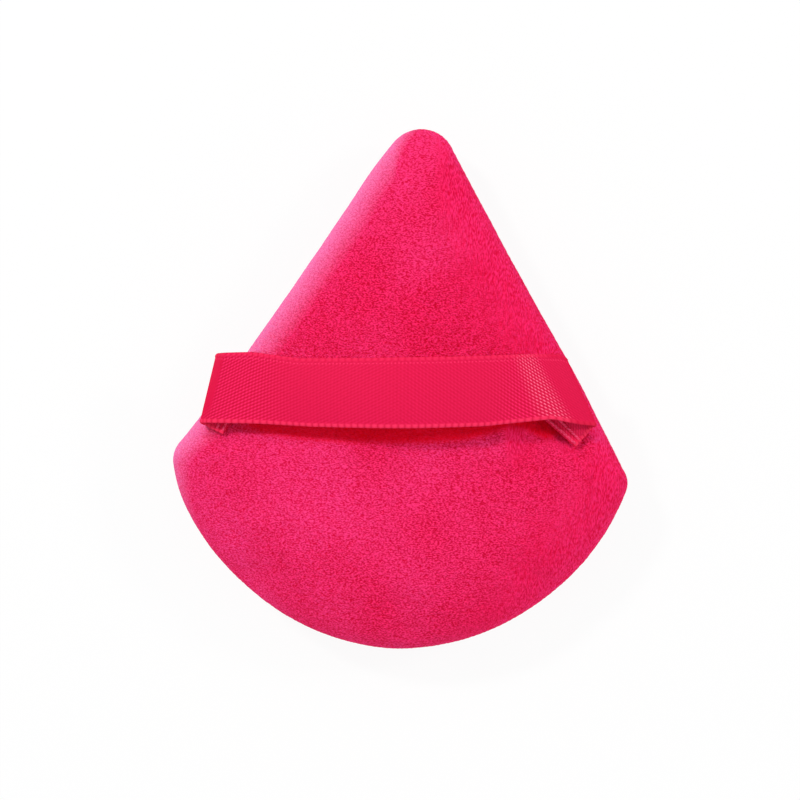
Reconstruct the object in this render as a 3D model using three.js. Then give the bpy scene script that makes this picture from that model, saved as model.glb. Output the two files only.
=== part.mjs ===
// Powder puff: a padded velour triangle with rounded corners and a ribbon finger strap.
//
// Frame: millimetres, +Z up. The origin lies on the powder face, under the middle of the puff.
// +X runs across the puff, +Y points to the rounded tip, and the strap is on top.

import * as THREE from 'three';

// Driving dimensions, in millimetres and degrees

// Outline of the sewn edge, seen from above: two straight sides, a round base, three rounded corners
const PUFF_LENGTH = 80;
const SIDE_ANGLE = 31.8;
const BASE_RADIUS = 36.4;
const TIP_RADIUS = 5.3;
const CORNER_RADIUS = 3.4;
const SIDE_DRAW_IN = 0.5;

// Pad, from the flat powder face up to the crown of the back
const FACE_DEPTH = 8;
const FACE_EDGE_ROUND = 6;
const CROWN_HEIGHT = 10;
const CROWN_FULLNESS = 4;

// Velour panels and the seam that joins them
const VELOUR_THICKNESS = 1.5;
const ALLOWANCE_WIDTH = 3;
const ALLOWANCE_THICKNESS = 1;
const GROOVE_DEPTH = 0.8;
const GROOVE_HEIGHT = 2;
const PIECE_CLEARANCE = 0.3;

// Threads
const SEAM_THREAD_DIAMETER = 0.4;
const TACK_THREAD_DIAMETER = 0.4;
const CLOSING_THREAD_DIAMETER = 0.4;
const TACK_STITCHES = 7;
const TACK_STITCH_LENGTH = 1.4;
const TACK_SETBACK = 1.2;
const CLOSING_LENGTH = 26;
const CLOSING_STITCHES = 13;
const CLOSING_BITE = 0.4;
const CLOSING_PLACE = -55;
const CLOSING_MARGIN = 1.5;

// Ribbon strap. It lies a little askew, and each end is folded under on a slant and sewn down
const RIBBON_WIDTH = 10;
const RIBBON_THICKNESS = 0.4;
const STRAP_PLACE = -0.6;
const STRAP_SKEW = 3.5;
const FINGER_GAP = 6;
const FOLD_LOOP_REACH = 0.9;
const FOLD_LOOP_HEIGHT = 3;
const FOLD_LOOP_END = 35;
const FOLD_TURN_LENGTH = 12;
const TAIL_FALL = 1.8;
const BEND_PLACE = 1.2;
const LEFT_OVERHANG = 1.2;
const LEFT_FOLD_SLANT = 12.5;
const LEFT_TAIL_LENGTH = 5.5;
const LEFT_STEEPNESS = 6;
const RIGHT_OVERHANG = -0.5;
const RIGHT_FOLD_SLANT = 22.5;
const RIGHT_TAIL_LENGTH = 6.5;
const RIGHT_STEEPNESS = 3.5;

// Hollow that each tack pulls into the back
const TACK_DIMPLE_DEPTH = 1.5;
const TACK_DIMPLE_RADIUS = 6;

// Facets
const TIP_STEPS = 8;
const SIDE_STEPS = 8;
const CORNER_STEPS = 5;
const BASE_STEPS = 20;
const DOME_STEPS = 8;
const EDGE_STEPS = 5;
const TAIL_STEPS = 5;
const FOLD_STEPS = 5;
const SPAN_STEPS = 12;
const SPAN_STEP_GROWTH = 1.5;
const SEAM_STEPS = 110;
const THREAD_SIDES = 6;

const radians = THREE.MathUtils.degToRad;

// Outline

const sideAngle = radians(SIDE_ANGLE);
const sharpTipY = PUFF_LENGTH / 2 - TIP_RADIUS + TIP_RADIUS / Math.sin(sideAngle);
const tipCentre = new THREE.Vector2(0, PUFF_LENGTH / 2 - TIP_RADIUS);
const baseCentre = new THREE.Vector2(0, BASE_RADIUS - PUFF_LENGTH / 2);
const rightNormal = new THREE.Vector2(Math.cos(sideAngle), Math.sin(sideAngle));
const leftNormal = new THREE.Vector2(-Math.cos(sideAngle), Math.sin(sideAngle));

// The corner arc touches the straight side and the round base from inside
const cornerOut = (sharpTipY - baseCentre.y) * Math.sin(sideAngle) - CORNER_RADIUS;
const cornerDown = Math.sqrt((BASE_RADIUS - CORNER_RADIUS) ** 2 - cornerOut ** 2);
const rightCorner = new THREE.Vector2(
  rightNormal.x * cornerOut + rightNormal.y * cornerDown,
  baseCentre.y + rightNormal.y * cornerOut - rightNormal.x * cornerDown,
);
const leftCorner = new THREE.Vector2(-rightCorner.x, rightCorner.y);
const cornerTurn = Math.atan2(baseCentre.y - rightCorner.y, rightCorner.x);

// The crown's middle is as far from both sides as from the base
const crownY = sharpTipY - (sharpTipY + PUFF_LENGTH / 2) / (1 + Math.sin(sideAngle));
const crownCentre = new THREE.Vector2(0, crownY);
const crownReach = crownY + PUFF_LENGTH / 2;

function onArc(centre, radius, angle) {
  return new THREE.Vector2(Math.cos(angle), Math.sin(angle)).multiplyScalar(radius).add(centre);
}

function arc(centre, radius, from, to, steps) {
  const points = [];
  for (let i = 0; i < steps; i += 1) {
    points.push(onArc(centre, radius, from + ((to - from) * i) / steps));
  }
  return points;
}

// A straight side that the filling draws in between its corners
function side(from, to, normal, steps) {
  const points = [];
  for (let i = 0; i < steps; i += 1) {
    const share = i / steps;
    const drawIn = SIDE_DRAW_IN * 4 * share * (1 - share);
    points.push(from.clone().lerp(to, share).addScaledVector(normal, -drawIn));
  }
  return points;
}

// The outline, moved inwards by inset, anticlockwise from the right end of the tip's arc
function outline(inset) {
  const tip = TIP_RADIUS - inset;
  const corner = CORNER_RADIUS - inset;
  const right = sideAngle;
  const left = Math.PI - sideAngle;
  const low = Math.PI + cornerTurn;
  return [
    ...arc(tipCentre, tip, right, left, TIP_STEPS),
    ...side(onArc(tipCentre, tip, left), onArc(leftCorner, corner, left), leftNormal, SIDE_STEPS),
    ...arc(leftCorner, corner, left, low, CORNER_STEPS),
    ...arc(baseCentre, BASE_RADIUS - inset, low, 2 * Math.PI - cornerTurn, BASE_STEPS),
    ...arc(rightCorner, corner, -cornerTurn, right, CORNER_STEPS),
    ...side(onArc(rightCorner, corner, right), onArc(tipCentre, tip, right), rightNormal, SIDE_STEPS),
  ];
}

// Strap layout, seen from above

const strapAlong = new THREE.Vector2(Math.cos(radians(STRAP_SKEW)), Math.sin(radians(STRAP_SKEW)));
const strapAcross = new THREE.Vector2(-strapAlong.y, strapAlong.x);
const strapMiddle = new THREE.Vector2(0, STRAP_PLACE);

// Where one end of the strap folds, and which way its tail runs back under it
function layOutEnd(outward, sideNormal, overhang, foldSlant, tailLength, steepness) {
  const edge = (sharpTipY * sideNormal.y - sideNormal.dot(strapMiddle)) / sideNormal.dot(outward);
  const reach = edge + overhang;
  const slant = radians(foldSlant);
  const tailWay = outward.clone().multiplyScalar(-Math.cos(2 * slant));
  tailWay.addScaledVector(strapAcross, -Math.sin(2 * slant));
  const foot = strapMiddle.clone().addScaledVector(outward, reach - FOLD_LOOP_REACH);
  const spanReach = reach - FOLD_LOOP_REACH * (1 - Math.cos(radians(FOLD_LOOP_END)));
  const tackLength = tailLength - TACK_SETBACK;
  const tack = foot.clone().addScaledVector(tailWay, tackLength);
  return { outward, slant, tailWay, tailLength, steepness, foot, spanReach, tack, tackLength };
}

const leftEnd = layOutEnd(
  strapAlong.clone().negate(),
  leftNormal,
  LEFT_OVERHANG,
  LEFT_FOLD_SLANT,
  LEFT_TAIL_LENGTH,
  LEFT_STEEPNESS,
);
const rightEnd = layOutEnd(
  strapAlong,
  rightNormal,
  RIGHT_OVERHANG,
  RIGHT_FOLD_SLANT,
  RIGHT_TAIL_LENGTH,
  RIGHT_STEEPNESS,
);

// Crown of the back

function dimple(point) {
  let depth = 0;
  for (const end of [leftEnd, rightEnd]) {
    const share = point.distanceTo(end.tack) / TACK_DIMPLE_RADIUS;
    depth += TACK_DIMPLE_DEPTH * Math.exp(-share * share);
  }
  return depth;
}

// Height of the back over a point near one of the straight sides
function backHeight(point) {
  const fromCrown = point.clone().sub(crownCentre);
  const sideShare = Math.max(fromCrown.dot(rightNormal), fromCrown.dot(leftNormal)) / crownReach;
  const heightShare = Math.sqrt(Math.max(0, 1 - sideShare ** CROWN_FULLNESS));
  return FACE_DEPTH + (CROWN_HEIGHT - dimple(point)) * heightShare;
}

// Closed solids from rings of points

function solidFrom(points, faces) {
  const geometry = new THREE.BufferGeometry().setFromPoints(points);
  geometry.setIndex(faces.flat());
  geometry.computeVertexNormals();
  return geometry;
}

function bandFaces(first, second, count) {
  const faces = [];
  for (let i = 0; i < count; i += 1) {
    const next = (i + 1) % count;
    faces.push([first + i, second + i, second + next]);
    faces.push([first + i, second + next, first + next]);
  }
  return faces;
}

// A turned solid: rings from the pole that faces up to the pole that faces down
function ringSolid(topPole, rings, bottomPole) {
  const count = rings[0].length;
  const points = [topPole, ...rings.flat(), bottomPole];
  const last = points.length - 1;
  const faces = [];
  for (let i = 0; i < count; i += 1) {
    const next = (i + 1) % count;
    faces.push([0, 1 + i, 1 + next]);
    faces.push([last, last - count + next, last - count + i]);
  }
  for (let ring = 0; ring < rings.length - 1; ring += 1) {
    faces.push(...bandFaces(1 + ring * count, 1 + (ring + 1) * count, count));
  }
  return solidFrom(points, faces);
}

// A strip: four-cornered sections from one end to the other
function stripSolid(sections) {
  const faces = [[0, 2, 1], [0, 3, 2]];
  for (let i = 0; i < sections.length - 1; i += 1) {
    faces.push(...bandFaces(4 * (i + 1), 4 * i, 4));
  }
  const last = 4 * (sections.length - 1);
  faces.push([last, last + 1, last + 2], [last, last + 2, last + 3]);
  return solidFrom(sections.flat(), faces);
}

// A thread: a round section along straight runs between the points
function threadSolid(points, diameter, steps) {
  const path = new THREE.CurvePath();
  for (let i = 0; i < points.length - 1; i += 1) {
    path.add(new THREE.LineCurve3(points[i], points[i + 1]));
  }
  const section = new THREE.Shape(arc(new THREE.Vector2(), diameter / 2, 0, 2 * Math.PI, THREAD_SIDES));
  return new THREE.ExtrudeGeometry(section, { steps, extrudePath: path, curveSegments: 1 });
}

// Rings of the pad. Each is the outline moved in, drawn towards the crown's middle and lifted

function flatRing(inset, share, z) {
  return outline(inset).map((point) => {
    const place = point.sub(crownCentre).multiplyScalar(share).add(crownCentre);
    return new THREE.Vector3(place.x, place.y, z);
  });
}

function pole(z) {
  return new THREE.Vector3(crownCentre.x, crownCentre.y, z);
}

// Crown rings from near the middle down to the given height over the seam
function crownRings(inset, height, lowest) {
  const rings = [];
  const lastTurn = Math.acos(lowest / height);
  for (let i = 1; i <= DOME_STEPS; i += 1) {
    const turn = (lastTurn * i) / DOME_STEPS;
    const ring = flatRing(inset, Math.sin(turn) ** (2 / CROWN_FULLNESS), FACE_DEPTH);
    for (const point of ring) {
      const fall = dimple(new THREE.Vector2(point.x, point.y));
      point.z += (height - fall) * Math.cos(turn);
    }
    rings.push(ring);
  }
  return rings;
}

function crownPole(height) {
  return pole(FACE_DEPTH + height - dimple(crownCentre));
}

// Face rings from the flat's edge up to the given depth under the seam
function faceRings(inset, floor, highest) {
  const rings = [];
  const depth = FACE_DEPTH - floor;
  const flatShare = 1 - FACE_EDGE_ROUND / crownReach;
  const lastTurn = Math.acos(highest / depth);
  for (let i = 0; i <= EDGE_STEPS; i += 1) {
    const turn = (lastTurn * i) / EDGE_STEPS;
    const share = flatShare + (1 - flatShare) * Math.sin(turn);
    rings.push(flatRing(inset, share, FACE_DEPTH - depth * Math.cos(turn)));
  }
  return rings;
}

// Both panels turn in at the seam: across the groove's lip, in along the allowance, and back out
const seamHalf = PIECE_CLEARANCE / 2;
const allowanceTop = seamHalf + ALLOWANCE_THICKNESS;
const allowanceShare = 1 - ALLOWANCE_WIDTH / crownReach;

function allowanceRings(up) {
  return [
    flatRing(GROOVE_DEPTH, 1, FACE_DEPTH + up * seamHalf),
    flatRing(VELOUR_THICKNESS, allowanceShare, FACE_DEPTH + up * seamHalf),
    flatRing(VELOUR_THICKNESS, allowanceShare, FACE_DEPTH + up * allowanceTop),
  ];
}

function backPanel() {
  const innerHeight = CROWN_HEIGHT - VELOUR_THICKNESS;
  const rings = [
    ...crownRings(0, CROWN_HEIGHT, GROOVE_HEIGHT / 2),
    ...allowanceRings(1),
    ...crownRings(VELOUR_THICKNESS, innerHeight, allowanceTop).reverse(),
  ];
  return ringSolid(crownPole(CROWN_HEIGHT), rings, crownPole(innerHeight));
}

function facePanel() {
  const rings = [
    ...faceRings(VELOUR_THICKNESS, VELOUR_THICKNESS, allowanceTop),
    ...allowanceRings(-1).reverse(),
    ...faceRings(0, 0, GROOVE_HEIGHT / 2).reverse(),
  ];
  return ringSolid(pole(VELOUR_THICKNESS), rings, pole(0));
}

// The filling, with a groove round its edge for the allowances
function foamCore() {
  const inset = VELOUR_THICKNESS + PIECE_CLEARANCE;
  const height = CROWN_HEIGHT - inset;
  const lip = allowanceTop + PIECE_CLEARANCE;
  const rings = [
    ...crownRings(inset, height, lip),
    flatRing(inset, allowanceShare, FACE_DEPTH + lip),
    flatRing(inset, allowanceShare, FACE_DEPTH - lip),
    ...faceRings(inset, inset, lip).reverse(),
  ];
  return ringSolid(crownPole(height), rings, pole(inset));
}

// Ribbon

const strapTop = FACE_DEPTH + CROWN_HEIGHT + FINGER_GAP + RIBBON_THICKNESS / 2;
const seatGap = PIECE_CLEARANCE + RIBBON_THICKNESS / 2;

// One line across the ribbon: its middle, its slant to the strap's own cross line, and its two heights
function ribbonLine(end, middle, slant, halfWidth, lowHeight, highHeight) {
  const way = strapAcross.clone().multiplyScalar(Math.cos(slant));
  way.addScaledVector(end.outward, -Math.sin(slant)).multiplyScalar(halfWidth);
  return [
    new THREE.Vector3(middle.x - way.x, middle.y - way.y, lowHeight),
    new THREE.Vector3(middle.x + way.x, middle.y + way.y, highHeight),
  ];
}

// The tail's line at a length from the fold's foot. It lies on the back, then falls towards the fold
function tailLine(end, length) {
  const spread = Math.min(1, length / end.tackLength);
  const slant = end.slant * (1 + spread);
  const halfWidth = RIBBON_WIDTH / 2 / Math.cos(2 * end.slant - slant);
  const middle = end.foot.clone().addScaledVector(end.tailWay, length);
  const seat = end.foot.clone().addScaledVector(end.tailWay, Math.max(length, end.tackLength));
  const seatLine = ribbonLine(end, seat, 2 * end.slant, RIBBON_WIDTH / 2, 0, 0);
  const fall = TAIL_FALL * (1 - spread) ** 2;
  const heights = seatLine.map((point) => {
    return backHeight(new THREE.Vector2(point.x, point.y)) + seatGap - fall;
  });
  return ribbonLine(end, middle, slant, halfWidth, ...heights);
}

// The fold's line at a turn round the loop, from -90 degrees at its foot
function foldLine(end, turn) {
  const foot = tailLine(end, 0);
  const rise = (FOLD_LOOP_HEIGHT / 2) * (1 + Math.sin(turn));
  const middle = end.foot.clone().addScaledVector(end.outward, FOLD_LOOP_REACH * Math.cos(turn));
  const halfWidth = RIBBON_WIDTH / 2 / Math.cos(end.slant);
  return ribbonLine(end, middle, end.slant, halfWidth, foot[0].z + rise, foot[1].z + rise);
}

// The span's line at a distance in from the loop's end. It straightens as it climbs to the middle
function spanLine(end, distance) {
  const start = foldLine(end, radians(FOLD_LOOP_END));
  const fall = (1 - distance / end.spanReach) ** end.steepness;
  const slant = end.slant * (1 - THREE.MathUtils.smoothstep(distance, 0, FOLD_TURN_LENGTH));
  const middle = strapMiddle.clone().addScaledVector(end.outward, end.spanReach - distance);
  const heights = start.map((point) => strapTop - (strapTop - point.z) * fall);
  const halfWidth = RIBBON_WIDTH / 2 / Math.cos(slant);
  return ribbonLine(end, middle, slant, halfWidth, ...heights);
}

// Four corners round each line, half the ribbon's thickness to either face
function ribbonSections(lines) {
  return lines.map((line, i) => {
    const before = lines[Math.max(0, i - 1)];
    const after = lines[Math.min(lines.length - 1, i + 1)];
    const across = line[1].clone().sub(line[0]);
    const run = after[0].clone().add(after[1]).sub(before[0]).sub(before[1]);
    const face = across.cross(run).normalize().multiplyScalar(RIBBON_THICKNESS / 2);
    return [
      line[0].clone().add(face),
      line[1].clone().add(face),
      line[1].clone().sub(face),
      line[0].clone().sub(face),
    ];
  });
}

// A sewn end: its tail, its fold, and the foot of the span up to the bend
function strapEnd(end) {
  const lines = [];
  for (let i = 0; i <= TAIL_STEPS; i += 1) {
    lines.push(tailLine(end, end.tailLength * (1 - i / TAIL_STEPS)));
  }
  for (let i = 1; i <= FOLD_STEPS; i += 1) {
    lines.push(foldLine(end, radians(-90 + ((90 + FOLD_LOOP_END) * i) / FOLD_STEPS)));
  }
  lines.push(spanLine(end, BEND_PLACE / 2), spanLine(end, BEND_PLACE));
  return stripSolid(ribbonSections(lines));
}

// The free span between the two bends, with closer steps where it climbs
function fingerStrap() {
  const halves = [leftEnd, rightEnd].map((end) => {
    const lines = [];
    const first = BEND_PLACE + PIECE_CLEARANCE;
    for (let i = 0; i < SPAN_STEPS; i += 1) {
      const share = (i / SPAN_STEPS) ** SPAN_STEP_GROWTH;
      lines.push(spanLine(end, first + (end.spanReach - first) * share));
    }
    return lines;
  });
  const middle = spanLine(leftEnd, leftEnd.spanReach);
  return stripSolid(ribbonSections([...halves[0], middle, ...halves[1].reverse()]));
}

// Threads

// A zigzag across the tail, over the line where it is sewn down
function strapTack(end) {
  const points = [];
  const lift = RIBBON_THICKNESS / 2 + PIECE_CLEARANCE + TACK_THREAD_DIAMETER / 2;
  const margin = TACK_STITCH_LENGTH / RIBBON_WIDTH;
  const turns = 2 * TACK_STITCHES;
  for (let i = 0; i <= turns; i += 1) {
    const step = (i % 2 ? 0.5 : -0.5) * TACK_STITCH_LENGTH;
    const line = tailLine(end, end.tackLength + step);
    const place = margin + (1 - 2 * margin) * (i / turns);
    const point = line[0].clone().lerp(line[1], place);
    point.z += lift;
    points.push(point);
  }
  return threadSolid(points, TACK_THREAD_DIAMETER, 2 * turns);
}

// The closing gap lies on the round base. Both of its threads lie in the groove between the panels
const closingMiddle = radians(CLOSING_PLACE);
const closingHalf = CLOSING_LENGTH / 2 / BASE_RADIUS;
const seamStop = closingHalf + CLOSING_MARGIN / BASE_RADIUS;

function besideClosing(point) {
  const turn = Math.atan2(point.y - baseCentre.y, point.x - baseCentre.x);
  return Math.abs(turn - closingMiddle) > seamStop;
}

// The machine seam runs round from one end of the closing gap to the other
function edgeSeam() {
  const inset = SEAM_THREAD_DIAMETER / 2;
  const around = outline(inset);
  const first = around.findIndex((point, i) => besideClosing(point) && !besideClosing(around.at(i - 1)));
  const route = [
    onArc(baseCentre, BASE_RADIUS - inset, closingMiddle + seamStop),
    ...[...around.slice(first), ...around.slice(0, first)].filter(besideClosing),
    onArc(baseCentre, BASE_RADIUS - inset, closingMiddle - seamStop),
  ];
  const points = route.map((point) => new THREE.Vector3(point.x, point.y, FACE_DEPTH));
  return threadSolid(points, SEAM_THREAD_DIAMETER, SEAM_STEPS);
}

// Hand stitches over the closing gap, from one panel to the other and back
function closingStitches() {
  const points = [];
  const turns = 2 * CLOSING_STITCHES;
  const radius = BASE_RADIUS - CLOSING_THREAD_DIAMETER / 2;
  for (let i = 0; i <= turns; i += 1) {
    const place = onArc(baseCentre, radius, closingMiddle + closingHalf * ((2 * i) / turns - 1));
    points.push(new THREE.Vector3(place.x, place.y, FACE_DEPTH + (i % 2 ? -1 : 1) * CLOSING_BITE));
  }
  return threadSolid(points, CLOSING_THREAD_DIAMETER, 2 * turns);
}

// Assembly

const velour = new THREE.MeshStandardMaterial({ color: 0xe91f59, roughness: 0.95, metalness: 0 });
const faceVelour = new THREE.MeshStandardMaterial({ color: 0xe82a60, roughness: 0.95, metalness: 0 });
const foam = new THREE.MeshStandardMaterial({ color: 0xf3eee4, roughness: 0.9, metalness: 0 });
const ribbon = new THREE.MeshStandardMaterial({ color: 0xe81b4c, roughness: 0.45, metalness: 0 });
const thread = new THREE.MeshStandardMaterial({ color: 0xd81e56, roughness: 0.6, metalness: 0 });

const puff = new THREE.Group();

function addPiece(name, geometry, material) {
  const mesh = new THREE.Mesh(geometry, material);
  mesh.name = name;
  puff.add(mesh);
}

addPiece('back_panel', backPanel(), velour);
addPiece('face_panel', facePanel(), faceVelour);
addPiece('foam_core', foamCore(), foam);
addPiece('finger_strap', fingerStrap(), ribbon);
addPiece('strap_end_left', strapEnd(leftEnd), ribbon);
addPiece('strap_end_right', strapEnd(rightEnd), ribbon);
addPiece('strap_tack_left', strapTack(leftEnd), thread);
addPiece('strap_tack_right', strapTack(rightEnd), thread);
addPiece('edge_seam', edgeSeam(), thread);
addPiece('closing_stitches', closingStitches(), thread);

export default puff;
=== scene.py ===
# %% [markdown]
# # Powder puff
# A powder puff is two velour panels sewn together round the edge, turned right side out and filled with
# soft foam. A ribbon across its back takes two fingers. The imported CAD solids are the frame: each soft
# solid is replaced here by a finer surface in the same place, in metres, and the back's pieces ride on
# its body.

# %% Load the imported frame
import math

import bpy
import numpy as np
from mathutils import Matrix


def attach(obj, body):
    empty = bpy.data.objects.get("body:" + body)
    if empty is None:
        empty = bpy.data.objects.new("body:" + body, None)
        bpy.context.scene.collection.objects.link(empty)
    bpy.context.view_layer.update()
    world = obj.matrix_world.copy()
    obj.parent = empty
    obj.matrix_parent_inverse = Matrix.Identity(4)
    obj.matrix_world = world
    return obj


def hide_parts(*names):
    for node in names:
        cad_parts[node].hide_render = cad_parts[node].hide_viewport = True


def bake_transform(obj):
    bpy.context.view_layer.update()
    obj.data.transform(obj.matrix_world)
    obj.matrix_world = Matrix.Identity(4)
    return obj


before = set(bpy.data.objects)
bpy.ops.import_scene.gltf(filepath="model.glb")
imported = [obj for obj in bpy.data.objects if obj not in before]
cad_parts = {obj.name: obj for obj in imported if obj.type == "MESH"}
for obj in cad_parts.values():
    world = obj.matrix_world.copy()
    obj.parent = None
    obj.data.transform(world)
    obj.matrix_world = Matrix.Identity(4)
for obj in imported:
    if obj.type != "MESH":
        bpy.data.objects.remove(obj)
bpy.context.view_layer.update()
scene = bpy.context.scene
MM = 0.001

# %% [markdown]
# ## Outline
# The sewn edge is a sector with rounded corners: a round tip, two nearly straight sides and a round base.
# It could be drawn as a curve object, but every cover needs points on it, so it is a polyline worked out
# from the same few sizes as the CAD part. The left corner is a little rounder than the right one.

# %% Line helpers


def run_along(points):
    """Distance along a polyline at each of its points: the lengths of its steps, added up from 0."""
    return np.concatenate([[0.0], np.cumsum(np.linalg.norm(np.diff(points, axis=0), axis=1))])


def shares_along(points):
    """The same distance as a share of the whole length."""
    run = run_along(points)
    return run / run[-1]


def read_along(places, run, points, period=None):
    """A polyline read at places along it, evenly between neighbours; run is the place of each point."""
    return np.stack([np.interp(places, run, column, period=period) for column in points.T], axis=-1)


def unit(vectors):
    """Vectors divided by their own lengths."""
    return vectors / np.linalg.norm(vectors, axis=-1, keepdims=True)


def smooth_step(value, low, high):
    """0 below low, 1 above high, and 3t^2 - 2t^3 between them."""
    share = np.clip((value - low) / (high - low), 0, 1)
    return share * share * (3 - 2 * share)


print("line helpers ready")

# %% Sewn outline of the puff
PUFF_LENGTH = 80.0
SIDE_ANGLE = math.radians(31.8)
BASE_RADIUS = 36.4
TIP_RADIUS = 5.3
LEFT_CORNER_RADIUS = 4.2
RIGHT_CORNER_RADIUS = 3.5
SIDE_DRAW_IN = 0.5
TIP_POINTS = 60
SIDE_POINTS = 120
CORNER_POINTS = 40
BASE_POINTS = 160
MIRROR = np.array([-1.0, 1.0])

sharp_tip = PUFF_LENGTH / 2 - TIP_RADIUS + TIP_RADIUS / math.sin(SIDE_ANGLE)
base_centre = BASE_RADIUS - PUFF_LENGTH / 2
crown_y = sharp_tip - (sharp_tip + PUFF_LENGTH / 2) / (1 + math.sin(SIDE_ANGLE))
crown_reach = crown_y + PUFF_LENGTH / 2
CROWN = np.array([0.0, crown_y])
side_normal = np.array([math.cos(SIDE_ANGLE), math.sin(SIDE_ANGLE)])


def arc(centre, radius, first, last, count):
    """Points on a circle: centre + radius * (cos turn, sin turn), as turn goes evenly from first to last."""
    turn = np.linspace(first, last, count)
    return np.array(centre) + radius * np.stack([np.cos(turn), np.sin(turn)], axis=1)


def half_outline(corner_radius):
    """The right half, in two runs: tip to the corner's middle, and from there to the middle of the base.
    The corner's arc touches the straight side and the round base from inside."""
    out = (sharp_tip - base_centre) * side_normal[1] - corner_radius
    down = math.sqrt((BASE_RADIUS - corner_radius) ** 2 - out ** 2)
    centre = np.array([side_normal[0] * out + side_normal[1] * down,
                       base_centre + side_normal[1] * out - side_normal[0] * down])
    low = -math.atan2(base_centre - centre[1], centre[0])
    middle = (low + SIDE_ANGLE) / 2
    tip = arc((0, PUFF_LENGTH / 2 - TIP_RADIUS), TIP_RADIUS, math.pi / 2, SIDE_ANGLE, TIP_POINTS)
    corner = arc(centre, corner_radius, SIDE_ANGLE, middle, CORNER_POINTS)
    share = np.linspace(0, 1, SIDE_POINTS)[1:-1, None]
    side = tip[-1] + (corner[0] - tip[-1]) * share - side_normal * SIDE_DRAW_IN * 4 * share * (1 - share)
    rest = arc(centre, corner_radius, middle, low, CORNER_POINTS)
    base = arc((0, base_centre), BASE_RADIUS, low, -math.pi / 2, BASE_POINTS)
    return np.concatenate([tip, side, corner]), np.concatenate([rest, base[1:]])


left_side, left_base = half_outline(LEFT_CORNER_RADIUS)
right_side, right_base = half_outline(RIGHT_CORNER_RADIUS)
outline_runs = [left_side * MIRROR, left_base * MIRROR, right_base[::-1], right_side[::-1]]
PLACES_ROUND = len(outline_runs)
plain_points = np.concatenate(outline_runs)
plain_places = np.concatenate([number + shares_along(run) for number, run in enumerate(outline_runs)])
print("plain outline: %d points" % len(plain_points))

# %% Hand-sewn wander of the edge
# How far the sewn edge stands out from the plain outline, in mm, at places from 0 to 4 round it
WANDER_PLACES = (0, 0.05, 0.15, 0.5, 0.93, 1.12, 1.5, 2.0, 2.55, 3.0, 3.28, 3.75, 4)
WANDER = (-0.2, -0.4, 0.3, 0.0, -0.4, 0.35, -0.2, 0.25, -0.4, -0.05, 0.85, 0.25, -0.2)
WANDER_EASE = 0.035
WANDER_STEPS = 1600

outline_places = np.arange(WANDER_STEPS) * PLACES_ROUND / WANDER_STEPS
ease_reach = np.minimum(outline_places, PLACES_ROUND - outline_places)
ease_bell = np.exp(-0.5 * (ease_reach / WANDER_EASE) ** 2)
raw_wander = np.interp(outline_places, WANDER_PLACES, WANDER)
edge_wander = np.fft.ifft(np.fft.fft(raw_wander) * np.fft.fft(ease_bell / ease_bell.sum())).real
plain_edge = read_along(outline_places, plain_places, plain_points)


def outward_of(way):
    """Directions turned a quarter turn clockwise: outwards, where way runs round the edge anticlockwise."""
    return np.stack([way[:, 1], -way[:, 0]], axis=1)


edge_way = unit(np.roll(plain_edge, -2, axis=0) - np.roll(plain_edge, 2, axis=0))
outline_points = plain_edge + outward_of(edge_way) * edge_wander[:, None]


def edge_point(place):
    """The outline at a place: 0 at the tip, 1 at the left corner, 2 at the base, 3 at the right corner."""
    return read_along(place, outline_places, outline_points, period=PLACES_ROUND)


print("sewn edge: %.1f mm round" % run_along(outline_points)[-1])

# %% [markdown]
# ## Grids
# A dome could be a polar grid, but its rings crowd together in the middle and starve the edge. Here a
# square grid is laid over the outline instead: its four corners go to the tip, the left corner, the base
# and the right corner, so the points stay about evenly spread and there is no pole.

# %% Square grid over the outline


def pad_grid(count):
    """For each point of a square grid, its share of the way out from the crown, max(|a|, |b|), and its
    place round the edge, which runs evenly along each side of its square ring."""
    line = np.linspace(-1, 1, count)
    a, b = np.meshgrid(line, line, indexing="ij")
    out = np.maximum(np.abs(a), np.abs(b))
    ring = np.where(out > 0, out, 1)
    place = np.select(
        [b >= out, a <= -out, b <= -out],
        [(1 - a / ring) / 2, 1 + (1 - b / ring) / 2, 2 + (1 + a / ring) / 2],
        3 + (1 + b / ring) / 2,
    )
    return out, place


def grid_quads(rows, columns, first=0):
    """Quads between neighbouring points of a grid that is stored row by row from number first."""
    corner = first + np.arange(rows - 1)[:, None] * columns + np.arange(columns - 1)[None, :]
    quads = np.stack([corner, corner + columns, corner + columns + 1, corner + 1], axis=-1)
    return quads.reshape(-1, 4)


def rim_numbers(count, first=0):
    """Numbers of a square grid's outer points, once round in order."""
    numbers = first + np.arange(count * count).reshape(count, count)
    return np.concatenate([numbers[:-1, 0], numbers[-1, :-1], numbers[:0:-1, -1], numbers[0, :0:-1]])


print("a grid of 5 by 5 has %d points on its rim" % len(rim_numbers(5)))

# %% Mesh helpers


def put_mesh(name, points, quads, triangles=np.zeros((0, 3), int)):
    """A smooth mesh object from points in millimetres and faces given as point numbers."""
    mesh = bpy.data.meshes.new(name)
    mesh.vertices.add(len(points))
    mesh.vertices.foreach_set("co", (points * MM).astype(np.float32).ravel())
    corners = np.concatenate([quads.ravel(), triangles.ravel()]).astype(np.int32)
    starts = np.concatenate([4 * np.arange(len(quads)), quads.size + 3 * np.arange(len(triangles))])
    mesh.loops.add(len(corners))
    mesh.loops.foreach_set("vertex_index", corners)
    mesh.polygons.add(len(starts))
    mesh.polygons.foreach_set("loop_start", starts.astype(np.int32))
    mesh.polygons.foreach_set("use_smooth", np.ones(len(starts), bool))
    mesh.update(calc_edges=True)
    mesh.validate()
    piece = bpy.data.objects.new(name, mesh)
    scene.collection.objects.link(piece)
    return piece


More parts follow.
